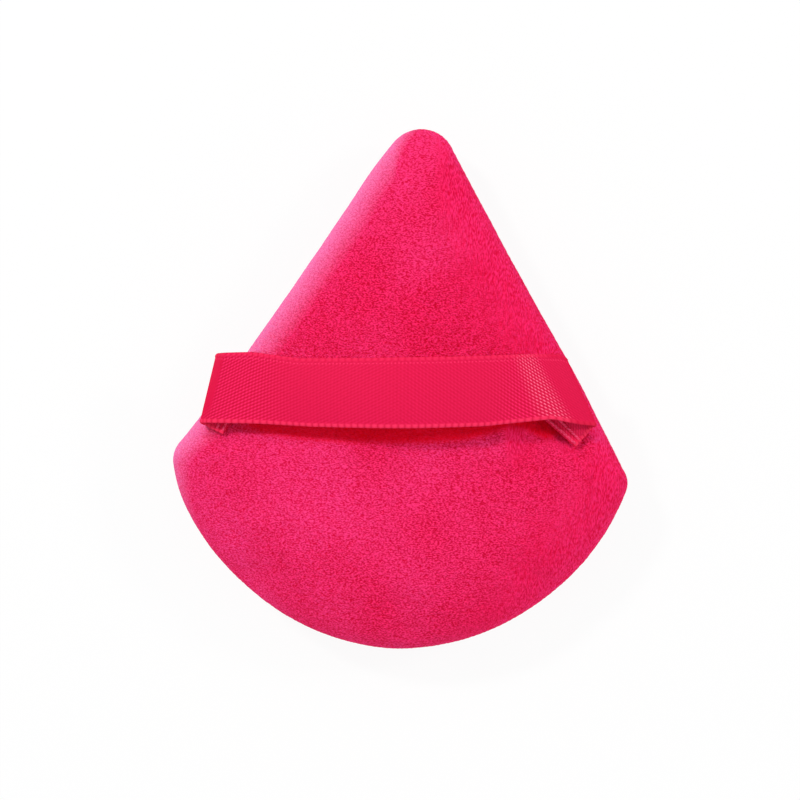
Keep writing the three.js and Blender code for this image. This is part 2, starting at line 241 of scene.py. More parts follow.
def set_attribute(piece, name, values):
    """One number at each point of a piece, for its material to read."""
    layer = piece.data.attributes.new(name, "FLOAT", "POINT")
    layer.data.foreach_set("value", np.asarray(values, np.float32).ravel())


def grid_normals(points):
    """Unit normals of a grid of points, as Blender works them out for a smooth mesh."""
    rows, columns = points.shape[:2]
    sample = put_mesh("sample", points.reshape(-1, 3), grid_quads(rows, columns))
    normal = np.zeros(rows * columns * 3, np.float32)
    sample.data.vertex_normals.foreach_get("vector", normal)
    mesh = sample.data
    bpy.data.objects.remove(sample)
    bpy.data.meshes.remove(mesh)
    return normal.reshape(points.shape).astype(float)


print("mesh helpers ready")

# %% [markdown]
# ## Strap layout
# The ribbon crosses the back a little askew. Each end is folded under on a slant, like a folded paper
# strip, so its tail comes back under it at twice the slant and is sewn down there. The covers need to know
# where the tacks are, so the layout comes before them.

# %% Where the strap folds and where it is sewn
RIBBON_WIDTH = 10.6
STRAP_PLACE = -0.6
STRAP_SKEW = math.radians(3.5)
FOLD_LOOP_REACH = 0.4
FOLD_LOOP_HEIGHT = 2.6
FOLD_LOOP_END = math.radians(35)
TACK_SETBACK = 0.8
TACK_DIMPLE_DEPTH = 1.5
TACK_DIMPLE_RADIUS = 6.0

strap_along = np.array([math.cos(STRAP_SKEW), math.sin(STRAP_SKEW)])
strap_across = np.array([-strap_along[1], strap_along[0]])
strap_middle = np.array([0.0, STRAP_PLACE])


def lay_out_end(way, overhang, fold_slant, tail_length):
    """One end of the strap: way is +1 for the right end and -1 for the left. The tail's direction is the
    strap's own, mirrored in the slanted fold line."""
    outward = way * strap_along
    normal = side_normal * np.array([way, 1])
    edge = (sharp_tip * normal[1] - normal @ strap_middle) / (normal @ outward)
    reach = edge + overhang
    slant = math.radians(fold_slant)
    tail_way = -outward * math.cos(2 * slant) - strap_across * math.sin(2 * slant)
    foot = strap_middle + outward * (reach - FOLD_LOOP_REACH)
    tack_length = tail_length - TACK_SETBACK
    return {
        "outward": outward,
        "slant": slant,
        "tail_way": tail_way,
        "tail_length": tail_length,
        "foot": foot,
        "span_reach": reach - FOLD_LOOP_REACH * (1 - math.cos(FOLD_LOOP_END)),
        "tack_length": tack_length,
        "tack": foot + tail_way * tack_length,
        "tack_way": strap_across * math.cos(2 * slant) - outward * math.sin(2 * slant),
    }


left_end = lay_out_end(-1, overhang=0.55, fold_slant=12.7, tail_length=4.6)
right_end = lay_out_end(1, overhang=-0.6, fold_slant=24.5, tail_length=6.5)


def tack_distance(end, places):
    """Distance in plan from the line along which one tail is sewn down, RIBBON_WIDTH long."""
    offset = places - end["tack"]
    run = np.clip(offset @ end["tack_way"], -RIBBON_WIDTH / 2, RIBBON_WIDTH / 2)
    return np.linalg.norm(offset - run[..., None] * end["tack_way"], axis=-1)


def dimple(places):
    """How far the two tacks pull the back down: a bell of depth * exp(-(distance / radius)^2) at each."""
    squares = [((places - end["tack"]) ** 2).sum(-1) for end in (left_end, right_end)]
    return TACK_DIMPLE_DEPTH * sum(np.exp(-square / TACK_DIMPLE_RADIUS ** 2) for square in squares)


print("tacks at", np.round(left_end["tack"], 1), "and", np.round(right_end["tack"], 1))

# %% [markdown]
# ## Photograph's camera, floor and light
# The puff lies flat and is seen from straight above, turned a little clockwise. A long lens from 0.42 m
# keeps the sides of the pad out of sight, as in the photograph. Most of the light is an even white
# surround. A lamp from the upper left puts the strap's shadow below it, a weaker one stands to the right,
# and a faint low one fills in from the front.

# %% Camera
FACE_DEPTH = 8.0
SEEN_CENTRE = (-0.73, -2.02)
SEEN_TURN = math.radians(3.82)
CAMERA_HEIGHT = 425.0
SEEN_WIDTH = 123.3
SENSOR = 36.0

lens = bpy.data.cameras.new("photo_camera")
lens.sensor_width = SENSOR
lens.lens = SENSOR * (CAMERA_HEIGHT - FACE_DEPTH) / SEEN_WIDTH
lens.clip_start = 0.01
camera = bpy.data.objects.new("photo_camera", lens)
camera.location = (SEEN_CENTRE[0] * MM, SEEN_CENTRE[1] * MM, CAMERA_HEIGHT * MM)
camera.rotation_euler = (0, 0, SEEN_TURN)
scene.collection.objects.link(camera)
scene.camera = camera
scene.view_settings.view_transform = "Standard"
print("lens %.1f mm" % lens.lens)

# %% Shader helpers


def add_node(tree, kind, inputs=None, **settings):
    """One shader node: settings are its properties, and inputs fill or link its sockets."""
    made = tree.nodes.new(kind)
    for name, value in settings.items():
        setattr(made, name, value)
    for socket, value in (inputs or {}).items():
        if isinstance(value, bpy.types.NodeSocket):
            tree.links.new(value, made.inputs[socket])
        else:
            made.inputs[socket].default_value = value
    return made


def maths(operation, *values):
    """One Math node's result, in the tree that the sockets among its values belong to."""
    tree = next(value for value in values if isinstance(value, bpy.types.NodeSocket)).id_data
    return add_node(tree, "ShaderNodeMath", dict(enumerate(values)), operation=operation).outputs[0]


def times(first, second):
    """first * second."""
    return maths("MULTIPLY", first, second)


def times_plus(value, factor, added):
    """value * factor + added."""
    return maths("MULTIPLY_ADD", value, factor, added)


def between(value, first, last):
    """The number first where value is 0, last where it is 1, and evenly between."""
    return times_plus(value, last - first, first)


def mix_colours(share, first, second):
    """From the first colour to the second by share, a socket. A colour is a socket or red, green and blue."""
    inputs = {0: share}
    for socket, colour in ((6, first), (7, second)):
        inputs[socket] = (*colour, 1) if isinstance(colour, tuple) else colour
    return add_node(share.id_data, "ShaderNodeMix", inputs, data_type="RGBA").outputs[2]


def new_material(name):
    """A material with an empty node tree."""
    material = bpy.data.materials.new(name)
    material.use_nodes = True
    material.node_tree.nodes.clear()
    return material, material.node_tree


print("shader helpers ready")

# %% Floor and world
WHITE = (1, 1, 1, 1)
SHOWN_WHITE = 0.92
SURROUND = 0.63
PAPER_SHADES = ((0.86, 0.86, 0.86), (0.9, 0.9, 0.9))
PAPER_GRAIN = 40.0
FLOOR_SIZE = 4.0
FLOOR_DROP = 0.05


def rays_seen(tree, *kinds):
    """1 for rays of the named kinds and 0 for all others."""
    path = add_node(tree, "ShaderNodeLightPath").outputs
    seen = path[kinds[0]]
    for kind in kinds[1:]:
        seen = maths("MAXIMUM", seen, path[kind])
    return seen


floor_material, tree = new_material("pale_floor")
seen = rays_seen(tree, "Is Camera Ray", "Is Glossy Ray", "Is Transmission Ray")
place = add_node(tree, "ShaderNodeTexCoord").outputs["Object"]
grain = add_node(tree, "ShaderNodeTexNoise", {"Vector": place, "Scale": PAPER_GRAIN, "Detail": 3.0})
paper = mix_colours(grain.outputs["Fac"], *PAPER_SHADES)
matte = add_node(tree, "ShaderNodeBsdfDiffuse", {"Color": paper}).outputs[0]
glow = add_node(tree, "ShaderNodeEmission", {"Color": WHITE, "Strength": 1.0}).outputs[0]
shown = add_node(tree, "ShaderNodeMixShader", {0: times(seen, SHOWN_WHITE), 1: matte, 2: glow})
add_node(tree, "ShaderNodeOutputMaterial", {"Surface": shown.outputs[0]})

floor_corners = np.array([(-1, -1), (1, -1), (1, 1), (-1, 1)]) * FLOOR_SIZE / 2 / MM
floor_points = np.column_stack([floor_corners, np.full(4, -FLOOR_DROP)])
floor = put_mesh("floor", floor_points, np.array([[0, 1, 2, 3]]))
floor.data.materials.append(floor_material)

world = bpy.data.worlds.new("white_surround")
scene.world = world
world.use_nodes = True
tree = world.node_tree
tree.nodes.clear()
level = between(rays_seen(tree, "Is Camera Ray", "Is Transmission Ray"), SURROUND, 1.0)
sky = add_node(tree, "ShaderNodeBackground", {"Color": WHITE, "Strength": level})
add_node(tree, "ShaderNodeOutputWorld", {"Surface": sky.outputs[0]})
print("floor and surround ready")

# %% Lamps
LAMP_AIM = np.array([0, 0, 0.012])


def soft_lamp(name, place, size, power):
    """A square soft lamp at a place in metres, turned to face the middle of the puff."""
    lamp = bpy.data.lights.new(name, "AREA")
    lamp.size = size
    lamp.energy = power
    holder = bpy.data.objects.new(name, lamp)
    holder.location = place
    x, y, z = np.array(place) - LAMP_AIM
    holder.rotation_euler = (math.atan2(math.hypot(x, y), z), 0, math.atan2(y, x) + math.pi / 2)
    scene.collection.objects.link(holder)


soft_lamp("main_lamp", place=(-0.32, 0.25, 0.50), size=0.07, power=1.72)
soft_lamp("side_lamp", place=(0.38, 0.17, 0.36), size=0.09, power=0.68)
soft_lamp("low_lamp", place=(0.05, -0.5, 0.12), size=0.2, power=0.25)
print("%d lamps" % len(bpy.data.lights))

# %% [markdown]
# ## Velour grain
# Velour is a knit with a dense cut pile, about half a millimetre high. The pile stands in small curls, and
# brushing leaves broad lighter and darker patches. Modelled hairs would be far too heavy, so the curls are
# real relief on a fine mesh, made from random noise that keeps only the wavelengths of the curls.

# %% Random grain fields
FIELD_POINTS = 1024
FIELD_STEP = 0.1
GRAIN_SEED = 31
draw = np.random.default_rng(GRAIN_SEED)


def grain_field(wavelength, spread, stretch=(1.0, 1.0)):
    """Random grain with one main wavelength in mm: white noise times exp(-(ln(f * wavelength) / spread)^2),
    with f the spatial frequency, stretched along x and y. It has mean 0 and deviation 1, and it tiles."""
    noise = np.fft.fft2(draw.standard_normal((FIELD_POINTS, FIELD_POINTS)))
    step = np.fft.fftfreq(FIELD_POINTS, FIELD_STEP)
    along, across = np.meshgrid(step * stretch[0], step * stretch[1], indexing="ij")
    size = np.maximum(np.hypot(along, across), 1e-6)
    field = np.fft.ifft2(noise * np.exp(-((np.log(size * wavelength) / spread) ** 2))).real
    return field / field.std()


def read_field(field, places):
    """The field at places in mm, taken evenly between its four nearest points."""
    spot = places / FIELD_STEP + FIELD_POINTS / 2
    cell = np.floor(spot).astype(int)
    x, y = np.moveaxis(spot - cell, -1, 0)
    left, low = np.moveaxis(cell % FIELD_POINTS, -1, 0)
    right, high = (left + 1) % FIELD_POINTS, (low + 1) % FIELD_POINTS
    near = field[left, low] * (1 - x) + field[right, low] * x
    far = field[left, high] * (1 - x) + field[right, high] * x
    return near * (1 - y) + far * y


curl_field = grain_field(wavelength=1.3, spread=0.3)
tuft_field = grain_field(wavelength=0.7, spread=0.35)
brush_field = grain_field(wavelength=14.0, spread=0.5, stretch=(1.0, 1.6))
ripple_field = grain_field(wavelength=7.0, spread=0.4)
print("grain fields of %.0f mm" % (FIELD_POINTS * FIELD_STEP))

# %% Pile of the velour
CURL_LIMIT = 1.6
CURL_SHARE = 0.55
TUFT_SHARE = 0.12
PILE_BASE = 0.18


def pile_height(places):
    """Curls: ridges 1 - |noise| follow winding lines, and finer tufts lie over them. From about 0 to 1."""
    ridges = 1 - np.minimum(np.abs(read_field(curl_field, places)), CURL_LIMIT) / CURL_LIMIT
    tufts = read_field(tuft_field, places)
    return np.clip(CURL_SHARE * ridges + TUFT_SHARE * tufts + PILE_BASE, 0, 1)


print("pile at the crown: %.2f of its height" % pile_height(CROWN))

# %% [markdown]
# ## Back cover
# The back is a crowned velour panel, held at the sewn edge and pulled down where the strap is tacked. A
# plain formula gives the crown, and Blender's Cloth then blows it up like the foam does, so that it pulls
# into the tacks by itself. Cloth works badly on things a few centimetres long, so it runs at ten times
# the size and only the change that it makes is kept and laid over the fine grid.

# %% Crown profile and cover surfaces
CROWN_HEIGHT = 10.0
CROWN_FULLNESS = 4
SEAM_LIP = 0.9
SEAM_TUCK = 1.1
ROLL_POINTS = 16
ROLL_FLATNESS = 0.94
TUCK_POINTS = 8
CROWN_POINTS = 400
LAID_OUT = 1.2


def even_profile(shares, heights):
    """Makes a profile even: out, from 0 to 1 along its length, gives the share and the height."""
    run = shares_along(np.stack([shares * crown_reach, heights], axis=1))
    return lambda out: (np.interp(out, run, shares), np.interp(out, run, heights))


def turned_in(shares, heights, turn_way):
    """Adds the roll at the seam: a quarter round of SEAM_LIP, then the allowance in along the seam."""
    turn = np.linspace(0, math.pi / 2, ROLL_POINTS)[1:]
    roll = 1 - SEAM_LIP * (1 - np.cos(turn)) / crown_reach
    level = heights[-1] - turn_way * SEAM_LIP * ROLL_FLATNESS * np.sin(turn)
    tuck = roll[-1] - np.linspace(0, SEAM_TUCK, TUCK_POINTS)[1:] / crown_reach
    return (np.concatenate([shares, roll, tuck]),
            np.concatenate([heights, level, np.full(len(tuck), level[-1])]))


def crown_profile():
    """From the middle out: height = seam + lip + rest * sqrt(1 - share^fullness), then the seam's roll."""
    share = np.sin(np.linspace(0, math.pi / 2, CROWN_POINTS)) ** (2 / CROWN_FULLNESS)
    rest = CROWN_HEIGHT - SEAM_LIP
    height = FACE_DEPTH + SEAM_LIP + rest * np.sqrt(np.maximum(0, 1 - share ** CROWN_FULLNESS))
    return even_profile(*turned_in(share, height, 1))


def cover_points(profile, count):
    """A cover's smooth surface on the square grid, the flat places its grain is read at, which are LAID_OUT
    times as far out as the grid's own share because the cloth also goes down the sides, and that share."""
    out, place = pad_grid(count)
    share, height = profile(out)
    spoke = edge_point(place) - CROWN
    flat = CROWN + spoke * share[..., None]
    laid_out = CROWN + spoke * (out * LAID_OUT)[..., None]
    return np.concatenate([flat, height[..., None]], axis=-1), laid_out, out


back_profile = crown_profile()
print("crown %.1f mm over the seam" % (back_profile(np.zeros(1))[1][0] - FACE_DEPTH))

# %% Cloth that swells
CLOTH_SCALE = 10.0
CLOTH_POINTS = 57
CLOTH_FRAMES = 24
CLOTH = {
    "quality": 8, "mass": 0.3, "air_damping": 4, "vertex_group_mass": "held", "use_pressure": True,
    "tension_stiffness": 20, "compression_stiffness": 20, "shear_stiffness": 8, "bending_stiffness": 0.6,
}


def swell(name, rest, start, held, pressure, limit):
    """Blows a square grid of cloth up from start, with the springs' lengths taken from rest and the held
    points fixed, and gives the change in mm, each point's move kept under limit."""
    quads = grid_quads(CLOTH_POINTS, CLOTH_POINTS)
    cloth = put_mesh(name, rest.reshape(-1, 3) * CLOTH_SCALE, quads)
    cloth.shape_key_add(name="rest")
    pulled = cloth.shape_key_add(name="pulled")
    pulled.data.foreach_set("co", (start * CLOTH_SCALE * MM).astype(np.float32).ravel())
    pulled.value = 1.0
    group = cloth.vertex_groups.new(name="held")
    group.add(np.flatnonzero(held.ravel()).tolist(), 1.0, "REPLACE")
    modifier = cloth.modifiers.new("swell", "CLOTH")
    for setting, value in CLOTH.items():
        setattr(modifier.settings, setting, value)
    modifier.settings.uniform_pressure_force = pressure
    modifier.settings.effector_weights.gravity = 0
    modifier.settings.rest_shape_key = cloth.data.shape_keys.key_blocks["rest"]
    modifier.collision_settings.use_collision = False
    modifier.point_cache.frame_start = 1
    modifier.point_cache.frame_end = CLOTH_FRAMES
    for number in range(1, CLOTH_FRAMES + 1):
        scene.frame_set(number)
    shaped = cloth.evaluated_get(bpy.context.evaluated_depsgraph_get())
    result = np.zeros(rest.size, np.float32)
    shaped.data.vertices.foreach_get("co", result)
    bpy.data.objects.remove(cloth)
    scene.frame_set(1)
    change = result.reshape(rest.shape).astype(float) / CLOTH_SCALE / MM - start
    size = np.linalg.norm(change, axis=-1, keepdims=True)
    change = change * np.minimum(1, limit / np.maximum(size, 1e-6))
    for axis in (0, 1, 0, 1):
        change = (np.roll(change, 1, axis) + 2 * change + np.roll(change, -1, axis)) / 4
    print("%s swells by up to %.2f mm" % (name, np.linalg.norm(change, axis=-1).max()))
    return change


print("cloth of %d points, %d frames" % (CLOTH_POINTS ** 2, CLOTH_FRAMES))

# %% Swell the back between its edge and its tacks
TACK_HOLD = 1.0
TACK_PULL = 1.0
TACK_PULL_REACH = 1.6
TACK_RIDGE = 0.3
TACK_RIDGE_PLACE = 3
TACK_RIDGE_REACH = 1.2
DIMPLE_ABOVE_SEAM = 6
RIM_HELD = 0.93
RIM_STEADY = (0.86, RIM_HELD)
BACK_PRESSURE = 3.0
BACK_LIMIT = 1.6
# Cloth that the right tack gathers up on either side of it, in mm from the tack's middle
PUCKERS = (
    {"along": -7.3, "over": -0.3, "width": 2.0, "length": 5.0, "height": 1.3},
    {"along": 4.6, "over": 0.3, "width": 1.6, "length": 2.0, "height": 0.7},
)

rest, _, out = cover_points(back_profile, CLOTH_POINTS)
plan, level = rest[..., :2], rest[..., 2]
tack_gap = np.minimum(tack_distance(left_end, plan), tack_distance(right_end, plan))
start = rest.copy()
start[..., 2] -= dimple(plan) * smooth_step(level, FACE_DEPTH, FACE_DEPTH + DIMPLE_ABOVE_SEAM)
start[..., 2] -= TACK_PULL * np.exp(-(tack_gap / TACK_PULL_REACH) ** 2)
start[..., 2] += TACK_RIDGE * np.exp(-((tack_gap - TACK_RIDGE_PLACE) / TACK_RIDGE_REACH) ** 2)
held = (out > RIM_HELD) | (tack_gap < TACK_HOLD)
back_change = start + swell("back_cloth", rest, start, held, BACK_PRESSURE, BACK_LIMIT) - rest
for pucker in PUCKERS:
    offset = plan - right_end["tack"]
    along = (offset @ strap_along - pucker["along"]) / pucker["width"]
    over = (offset @ strap_across - pucker["over"]) / pucker["length"]
    back_change[..., 2] += pucker["height"] * np.exp(-along ** 2 - over ** 2)
back_change = back_change * (1 - smooth_step(out, *RIM_STEADY))[..., None]
print("back moves by up to %.2f mm" % np.linalg.norm(back_change, axis=-1).max())

# %% Closed shell of a cover
COVER_WALL = 1.2
PILE_ENDS = (RIM_HELD, 0.97)
INNER_STEP = 4
INNER_PILE = 0.3
SEAM_CLEAR = 0.1
FACE_REST = 0.02


def close_cover(outer, inner):
    """Faces of a closed shell: the fine outer grid, a coarser inner one with a quarter of its steps, and
    a band that joins four outer steps to each inner one round the rim."""
    fine, coarse = len(outer), len(inner)
    first = fine * fine
    quads = np.concatenate([grid_quads(fine, fine), grid_quads(coarse, coarse, first)[:, ::-1]])
    rim = rim_numbers(fine).reshape(-1, INNER_STEP)
    after = np.roll(rim, -1, axis=0)[:, 0]
    low = rim_numbers(coarse, first)
    high = np.roll(low, -1)
    fans = [(low, rim[:, 1], rim[:, 0]), (low, rim[:, 2], rim[:, 1]), (low, high, rim[:, 2]),
            (high, rim[:, 3], rim[:, 2]), (high, after, rim[:, 3])]
    triangles = np.concatenate([np.stack(fan, axis=1) for fan in fans])
    points = np.concatenate([outer.reshape(-1, 3), inner.reshape(-1, 3)])
    return points, quads, triangles


def make_cover(name, way, surface, normals, out, relief, layers):
    """A cover, and its outer skin: relief stands on the surface along its normals, COVER_WALL of cloth lies
    under it, and both die out at the rim. way is 1 for the back, above the seam, and -1 for the face.
    layers are the numbers at each outer point that the material reads."""
    full = 1 - smooth_step(out, *PILE_ENDS)
    outer = surface + normals * (relief * full)[..., None]
    outer[..., 2] = np.maximum(outer[..., 2], FACE_REST)
    inner = (surface - normals * COVER_WALL * full[..., None])[::INNER_STEP, ::INNER_STEP]
    keep_clear = np.maximum if way > 0 else np.minimum
    inner[..., 2] = keep_clear(inner[..., 2], FACE_DEPTH + way * SEAM_CLEAR)
    points, quads, triangles = close_cover(outer, inner)
    cover = put_mesh(name, points, quads[:, ::way], triangles[:, ::way])
    for layer, values in layers.items():
        inside = np.full(inner[..., 0].size, INNER_PILE if layer == "pile" else 0)
        set_attribute(cover, layer, np.concatenate([values.ravel(), inside]))
    print("%s: %d points" % (name, len(points)))
    return cover, outer


print("cover wall %.1f mm" % COVER_WALL)

# %% How the pile of the back was brushed, its painted highlights and the strap's painted shadow
BRUSH_RANDOM = 0.55
BRUSH_REACH = 20.0
# Where the pile was last brushed, and two painted highlights: the place and reach of each patch in mm,
# and how much paler it is
BRUSHED_AND_LIT_PATCHES = (
    {"place": (-2, 12), "reach": (40, 10), "paler": -1.5},
    {"place": (-6, -15), "reach": (18, 8), "paler": 1.2},
    {"place": (-1, 36), "reach": (6, 8), "paler": 1.2},
    # Painted highlights: on the ridge of cloth left of the right tack, and on the pile beside the ribbon's
    # right end
    {"place": (13, -8.2), "reach": (4, 2), "paler": 2.2},
    {"place": (31, -4.9), "reach": (1.6, 1.8), "paler": 6},
)
# The strap's shadow painted on the pile below its lower edge: sizes in mm along the strap and over it from
# its middle
STRAP_SHADOW_BELOW = 2.4
STRAP_SHADOW_SIDES = (27.0, 15.5)
STRAP_SHADOW_ROUND = 2.5
STRAP_SHADOW_AT_TACK = 1.6
STRAP_SHADOW_TACK_PLACE = 21.5
STRAP_SHADOW_TACK_REACH = 2.5
STRAP_SHADOW_EDGE = (-0.8, 0.5)
STRAP_SHADOW_ABOVE = (-3, 3)
STRAP_SHADOW_LEFT = (-27, -22)
STRAP_SHADOW_RIGHT = (23, 25)


def brushed_and_lit_pile(places):
    """How much paler the pile is: broad random patches of brushing, a gradient paler towards the left, and
    a bell of paler * exp(-offset^2) for each patch of BRUSHED_AND_LIT_PATCHES, two of them painted
    highlights."""
    brush_and_highlight = BRUSH_RANDOM * read_field(brush_field, places) - np.clip(places[..., 0] / BRUSH_REACH, -1, 1)
    for patch in BRUSHED_AND_LIT_PATCHES:
        offset = (places - np.array(patch["place"])) / np.array(patch["reach"])
        brush_and_highlight = brush_and_highlight + patch["paler"] * np.exp(-(offset ** 2).sum(axis=-1))
    return brush_and_highlight


def painted_strap_shadow(places):
    """Where the strap's shadow is painted on the pile, from 0 to 1: from its middle down to a soft edge
    that stands STRAP_SHADOW_BELOW * (1 - spread^round) below the strap and a little lower at the right tack."""
    offset = places - strap_middle
    along, over = offset @ strap_along, offset @ strap_across
    spread = np.clip(np.abs(along) / np.where(along < 0, *STRAP_SHADOW_SIDES), 0, 1)
    reach = RIBBON_WIDTH / 2 + STRAP_SHADOW_BELOW * (1 - spread ** STRAP_SHADOW_ROUND)
    reach = reach + STRAP_SHADOW_AT_TACK * np.exp(-((along - STRAP_SHADOW_TACK_PLACE) / STRAP_SHADOW_TACK_REACH) ** 2)
    deep = smooth_step(over, STRAP_SHADOW_EDGE[0] - reach, STRAP_SHADOW_EDGE[1] - reach)
    deep = deep * (1 - smooth_step(over, *STRAP_SHADOW_ABOVE))
    return deep * smooth_step(along, *STRAP_SHADOW_LEFT) * (1 - smooth_step(along, *STRAP_SHADOW_RIGHT))


print("%d brushed patches" % len(BRUSHED_AND_LIT_PATCHES))

# %% Fine back cover with its pile
BACK_POINTS = 305
PILE_DEPTH = 0.3
BACK_PILE_LEVEL = 0.75
EDGE_PILE = 0.25
EDGE_PILE_FROM = (0.66, 0.84)
RIPPLE_DEPTH = 0.05
WALE_DEPTH = 0.07
WALE_PITCH = 0.85
WALE_WAVER = 0.8
RIGHT_SLOPE = (0.12, 0.55)
# The way the left shoulder's painted sheen faces: slopes that face it are painted lighter, as if lit from the
# upper left
PAINTED_SHEEN_WAY = np.array([-0.92, 0.39])


def finer(coarse, count):
    """A grid of values read more finely: a cubic through four neighbours along each direction."""
    old = len(coarse)
    spot = np.linspace(0, old - 1, count)
    low = np.minimum(np.floor(spot).astype(int), old - 2)
    t = spot - low
    weights = np.stack([-t + 2 * t ** 2 - t ** 3, 2 - 5 * t ** 2 + 3 * t ** 3,
                        t + 4 * t ** 2 - 3 * t ** 3, -t ** 2 + t ** 3]) / 2
    matrix = np.zeros((count, old))
    rows = np.arange(count)
    for offset, weight in zip((-1, 0, 1, 2), weights):
        np.add.at(matrix, (rows, np.clip(low + offset, 0, old - 1)), weight)
    return np.einsum("ia,abk,jb->ijk", matrix, coarse, matrix)


plain, laid_out, out = cover_points(back_profile, BACK_POINTS)
surface = plain + finer(back_change, BACK_POINTS)
normals = grid_normals(surface)
pile = pile_height(laid_out)
ripple = read_field(ripple_field, laid_out)
rightward = smooth_step(normals[..., 0], *RIGHT_SLOPE)
wales = np.cos(2 * math.pi * laid_out[..., 0] / WALE_PITCH + WALE_WAVER * ripple)
relief = PILE_DEPTH * (pile - BACK_PILE_LEVEL) + RIPPLE_DEPTH * ripple + WALE_DEPTH * rightward * wales
relief = relief * (1 - (1 - EDGE_PILE) * smooth_step(out, *EDGE_PILE_FROM))
back_layers = {
    "pile": pile,
    "brush_and_highlight": brushed_and_lit_pile(laid_out),
    # Painted shadow of the strap
    "under": painted_strap_shadow(surface[..., :2]),
    # Painted sheen of the left shoulder
    "leftward": np.clip(grid_normals(plain)[..., :2] @ PAINTED_SHEEN_WAY, 0, 1),
    "rightward": rightward,
}
back_cover, back_surface = make_cover("back_cover", 1, surface, normals, out, relief, back_layers)

# %% [markdown]
# ## Face cover
# The face that takes up the powder is the second velour panel: flat where it rests, with a rounded edge up
# to the seam. It is made like the back. When the puff is pressed it is the part that gives.

# %% Face cover
FACE_EDGE_ROUND = 6.0
FLAT_POINTS = 60
ROUND_POINTS = 300
FACE_POINTS = 241
FACE_PRESSURE = 2.0
FACE_LIMIT = 0.6
FACE_PILE_LEVEL = 1.0
FACE_GRAIN_SHIFT = 37.0
FACE_PAINTED_SHEEN_FROM = -2
UPSIDE_DOWN = np.array([1, 1, -1])


def face_profile_points():
    """From the middle out: flat at z = 0, a quarter ellipse FACE_EDGE_ROUND wide, then the seam's roll."""
    flat_share = 1 - FACE_EDGE_ROUND / crown_reach
    turn = np.linspace(0, math.pi / 2, ROUND_POINTS)
    depth = FACE_DEPTH - SEAM_LIP
    flat = np.linspace(0, flat_share, FLAT_POINTS)[:-1]
    share = np.concatenate([flat, flat_share + (1 - flat_share) * np.sin(turn)])
    height = np.concatenate([np.zeros(len(flat)), depth * (1 - np.cos(turn))])
    return even_profile(*turned_in(share, height, -1))


face_profile = face_profile_points()
rest, _, out = cover_points(face_profile, CLOTH_POINTS)
turned = rest * UPSIDE_DOWN
face_change = swell("face_cloth", turned, turned, out > RIM_HELD, FACE_PRESSURE, FACE_LIMIT) * UPSIDE_DOWN
face_change = face_change * (1 - smooth_step(out, *RIM_STEADY))[..., None]

surface, laid_out, out = cover_points(face_profile, FACE_POINTS)
surface = surface + finer(face_change, FACE_POINTS)
normals = -grid_normals(surface)
pile = pile_height(laid_out + FACE_GRAIN_SHIFT)
# The left shoulder's painted sheen goes on down the face's edge and fades out towards the bottom
painted_sheen_edge = smooth_step(surface[..., 2], FACE_PAINTED_SHEEN_FROM, FACE_DEPTH)
face_layers = {
    "pile": pile,
    "brush_and_highlight": read_field(brush_field, laid_out + FACE_GRAIN_SHIFT),
    "under": np.zeros_like(pile),
    "leftward": np.clip(normals[..., :2] @ PAINTED_SHEEN_WAY, 0, 1) * painted_sheen_edge,
    "rightward": np.zeros_like(pile),
}
relief = PILE_DEPTH * (pile - FACE_PILE_LEVEL)
face_cover, _ = make_cover("face_cover", -1, surface, normals, out, relief, face_layers)

# %% [markdown]
# ## Velour finish
# The dye is a saturated pink that goes to deep red between the curls, where light bounces from pile to
# pile. The tips scatter a paler pink at a slant, which is what sheen is for. Relief gives the curls, and
# finer fibres are bump, from a node group that the ribbon and the threads use too. How the pile was
# brushed and which way it slopes are numbers on the covers' points, and so is the light painted into the
# colour: two highlights among the patches, light on the slopes to the right, a sheen on the left shoulder
# and the strap's shadow below its lower edge.

# %% Fine fibres
FIBRE_CONTRAST = (0.36, 0.64)


def ramp(value, low, high, top=1.0, interpolation="LINEAR"):
    """0 at low, top at high and level beyond them, with a straight line or a smooth step between."""
    inputs = {"Value": value, "From Min": low, "From Max": high, "To Max": top}
    made = add_node(value.id_data, "ShaderNodeMapRange", inputs, interpolation_type=interpolation)
    return made.outputs[0]


def fibre_group():
    """Fine fibres for every yarn here: noise drawn out along one direction, as a mask and a height."""
    group = bpy.data.node_groups.new("fine_fibres", "ShaderNodeTree")
    for name, way, kind in (("Vector", "INPUT", "Vector"), ("Fibres per unit", "INPUT", "Float"),
                            ("Draw out", "INPUT", "Vector"), ("Mask", "OUTPUT", "Float"),
                            ("Height", "OUTPUT", "Float")):
        group.interface.new_socket(name, in_out=way, socket_type="NodeSocket" + kind)
    vector, per_unit, draw_out = add_node(group, "NodeGroupInput").outputs[:3]
    drawn = add_node(group, "ShaderNodeVectorMath", {0: vector, 1: draw_out}, operation="MULTIPLY")
    noise_inputs = {"Vector": drawn.outputs[0], "Scale": per_unit, "Detail": 1.0, "Roughness": 0.5}
    noise = add_node(group, "ShaderNodeTexNoise", noise_inputs).outputs["Fac"]
    add_node(group, "NodeGroupOutput", {"Mask": ramp(noise, *FIBRE_CONTRAST), "Height": noise})
    return group


fine_fibres = fibre_group()


def fibres(vector, per_unit, draw_out):
    """The group placed in the vector's tree: its mask and its height. The scale is in fibres per unit of
    the vector, which is a metre for Object coordinates and a millimetre for the cloth's own maps."""
    inputs = {"Vector": vector, "Fibres per unit": per_unit, "Draw out": draw_out}
    placed = add_node(vector.id_data, "ShaderNodeGroup", inputs, node_tree=fine_fibres)
    return placed.outputs["Mask"], placed.outputs["Height"]


print("fibre group: %d nodes" % len(fine_fibres.nodes))

# %% Finish helpers


def mix_values(share, first, second):
    """From the first number to the second by share, all of them sockets."""
    return add_node(share.id_data, "ShaderNodeMix", {0: share, 2: first, 3: second}).outputs[0]


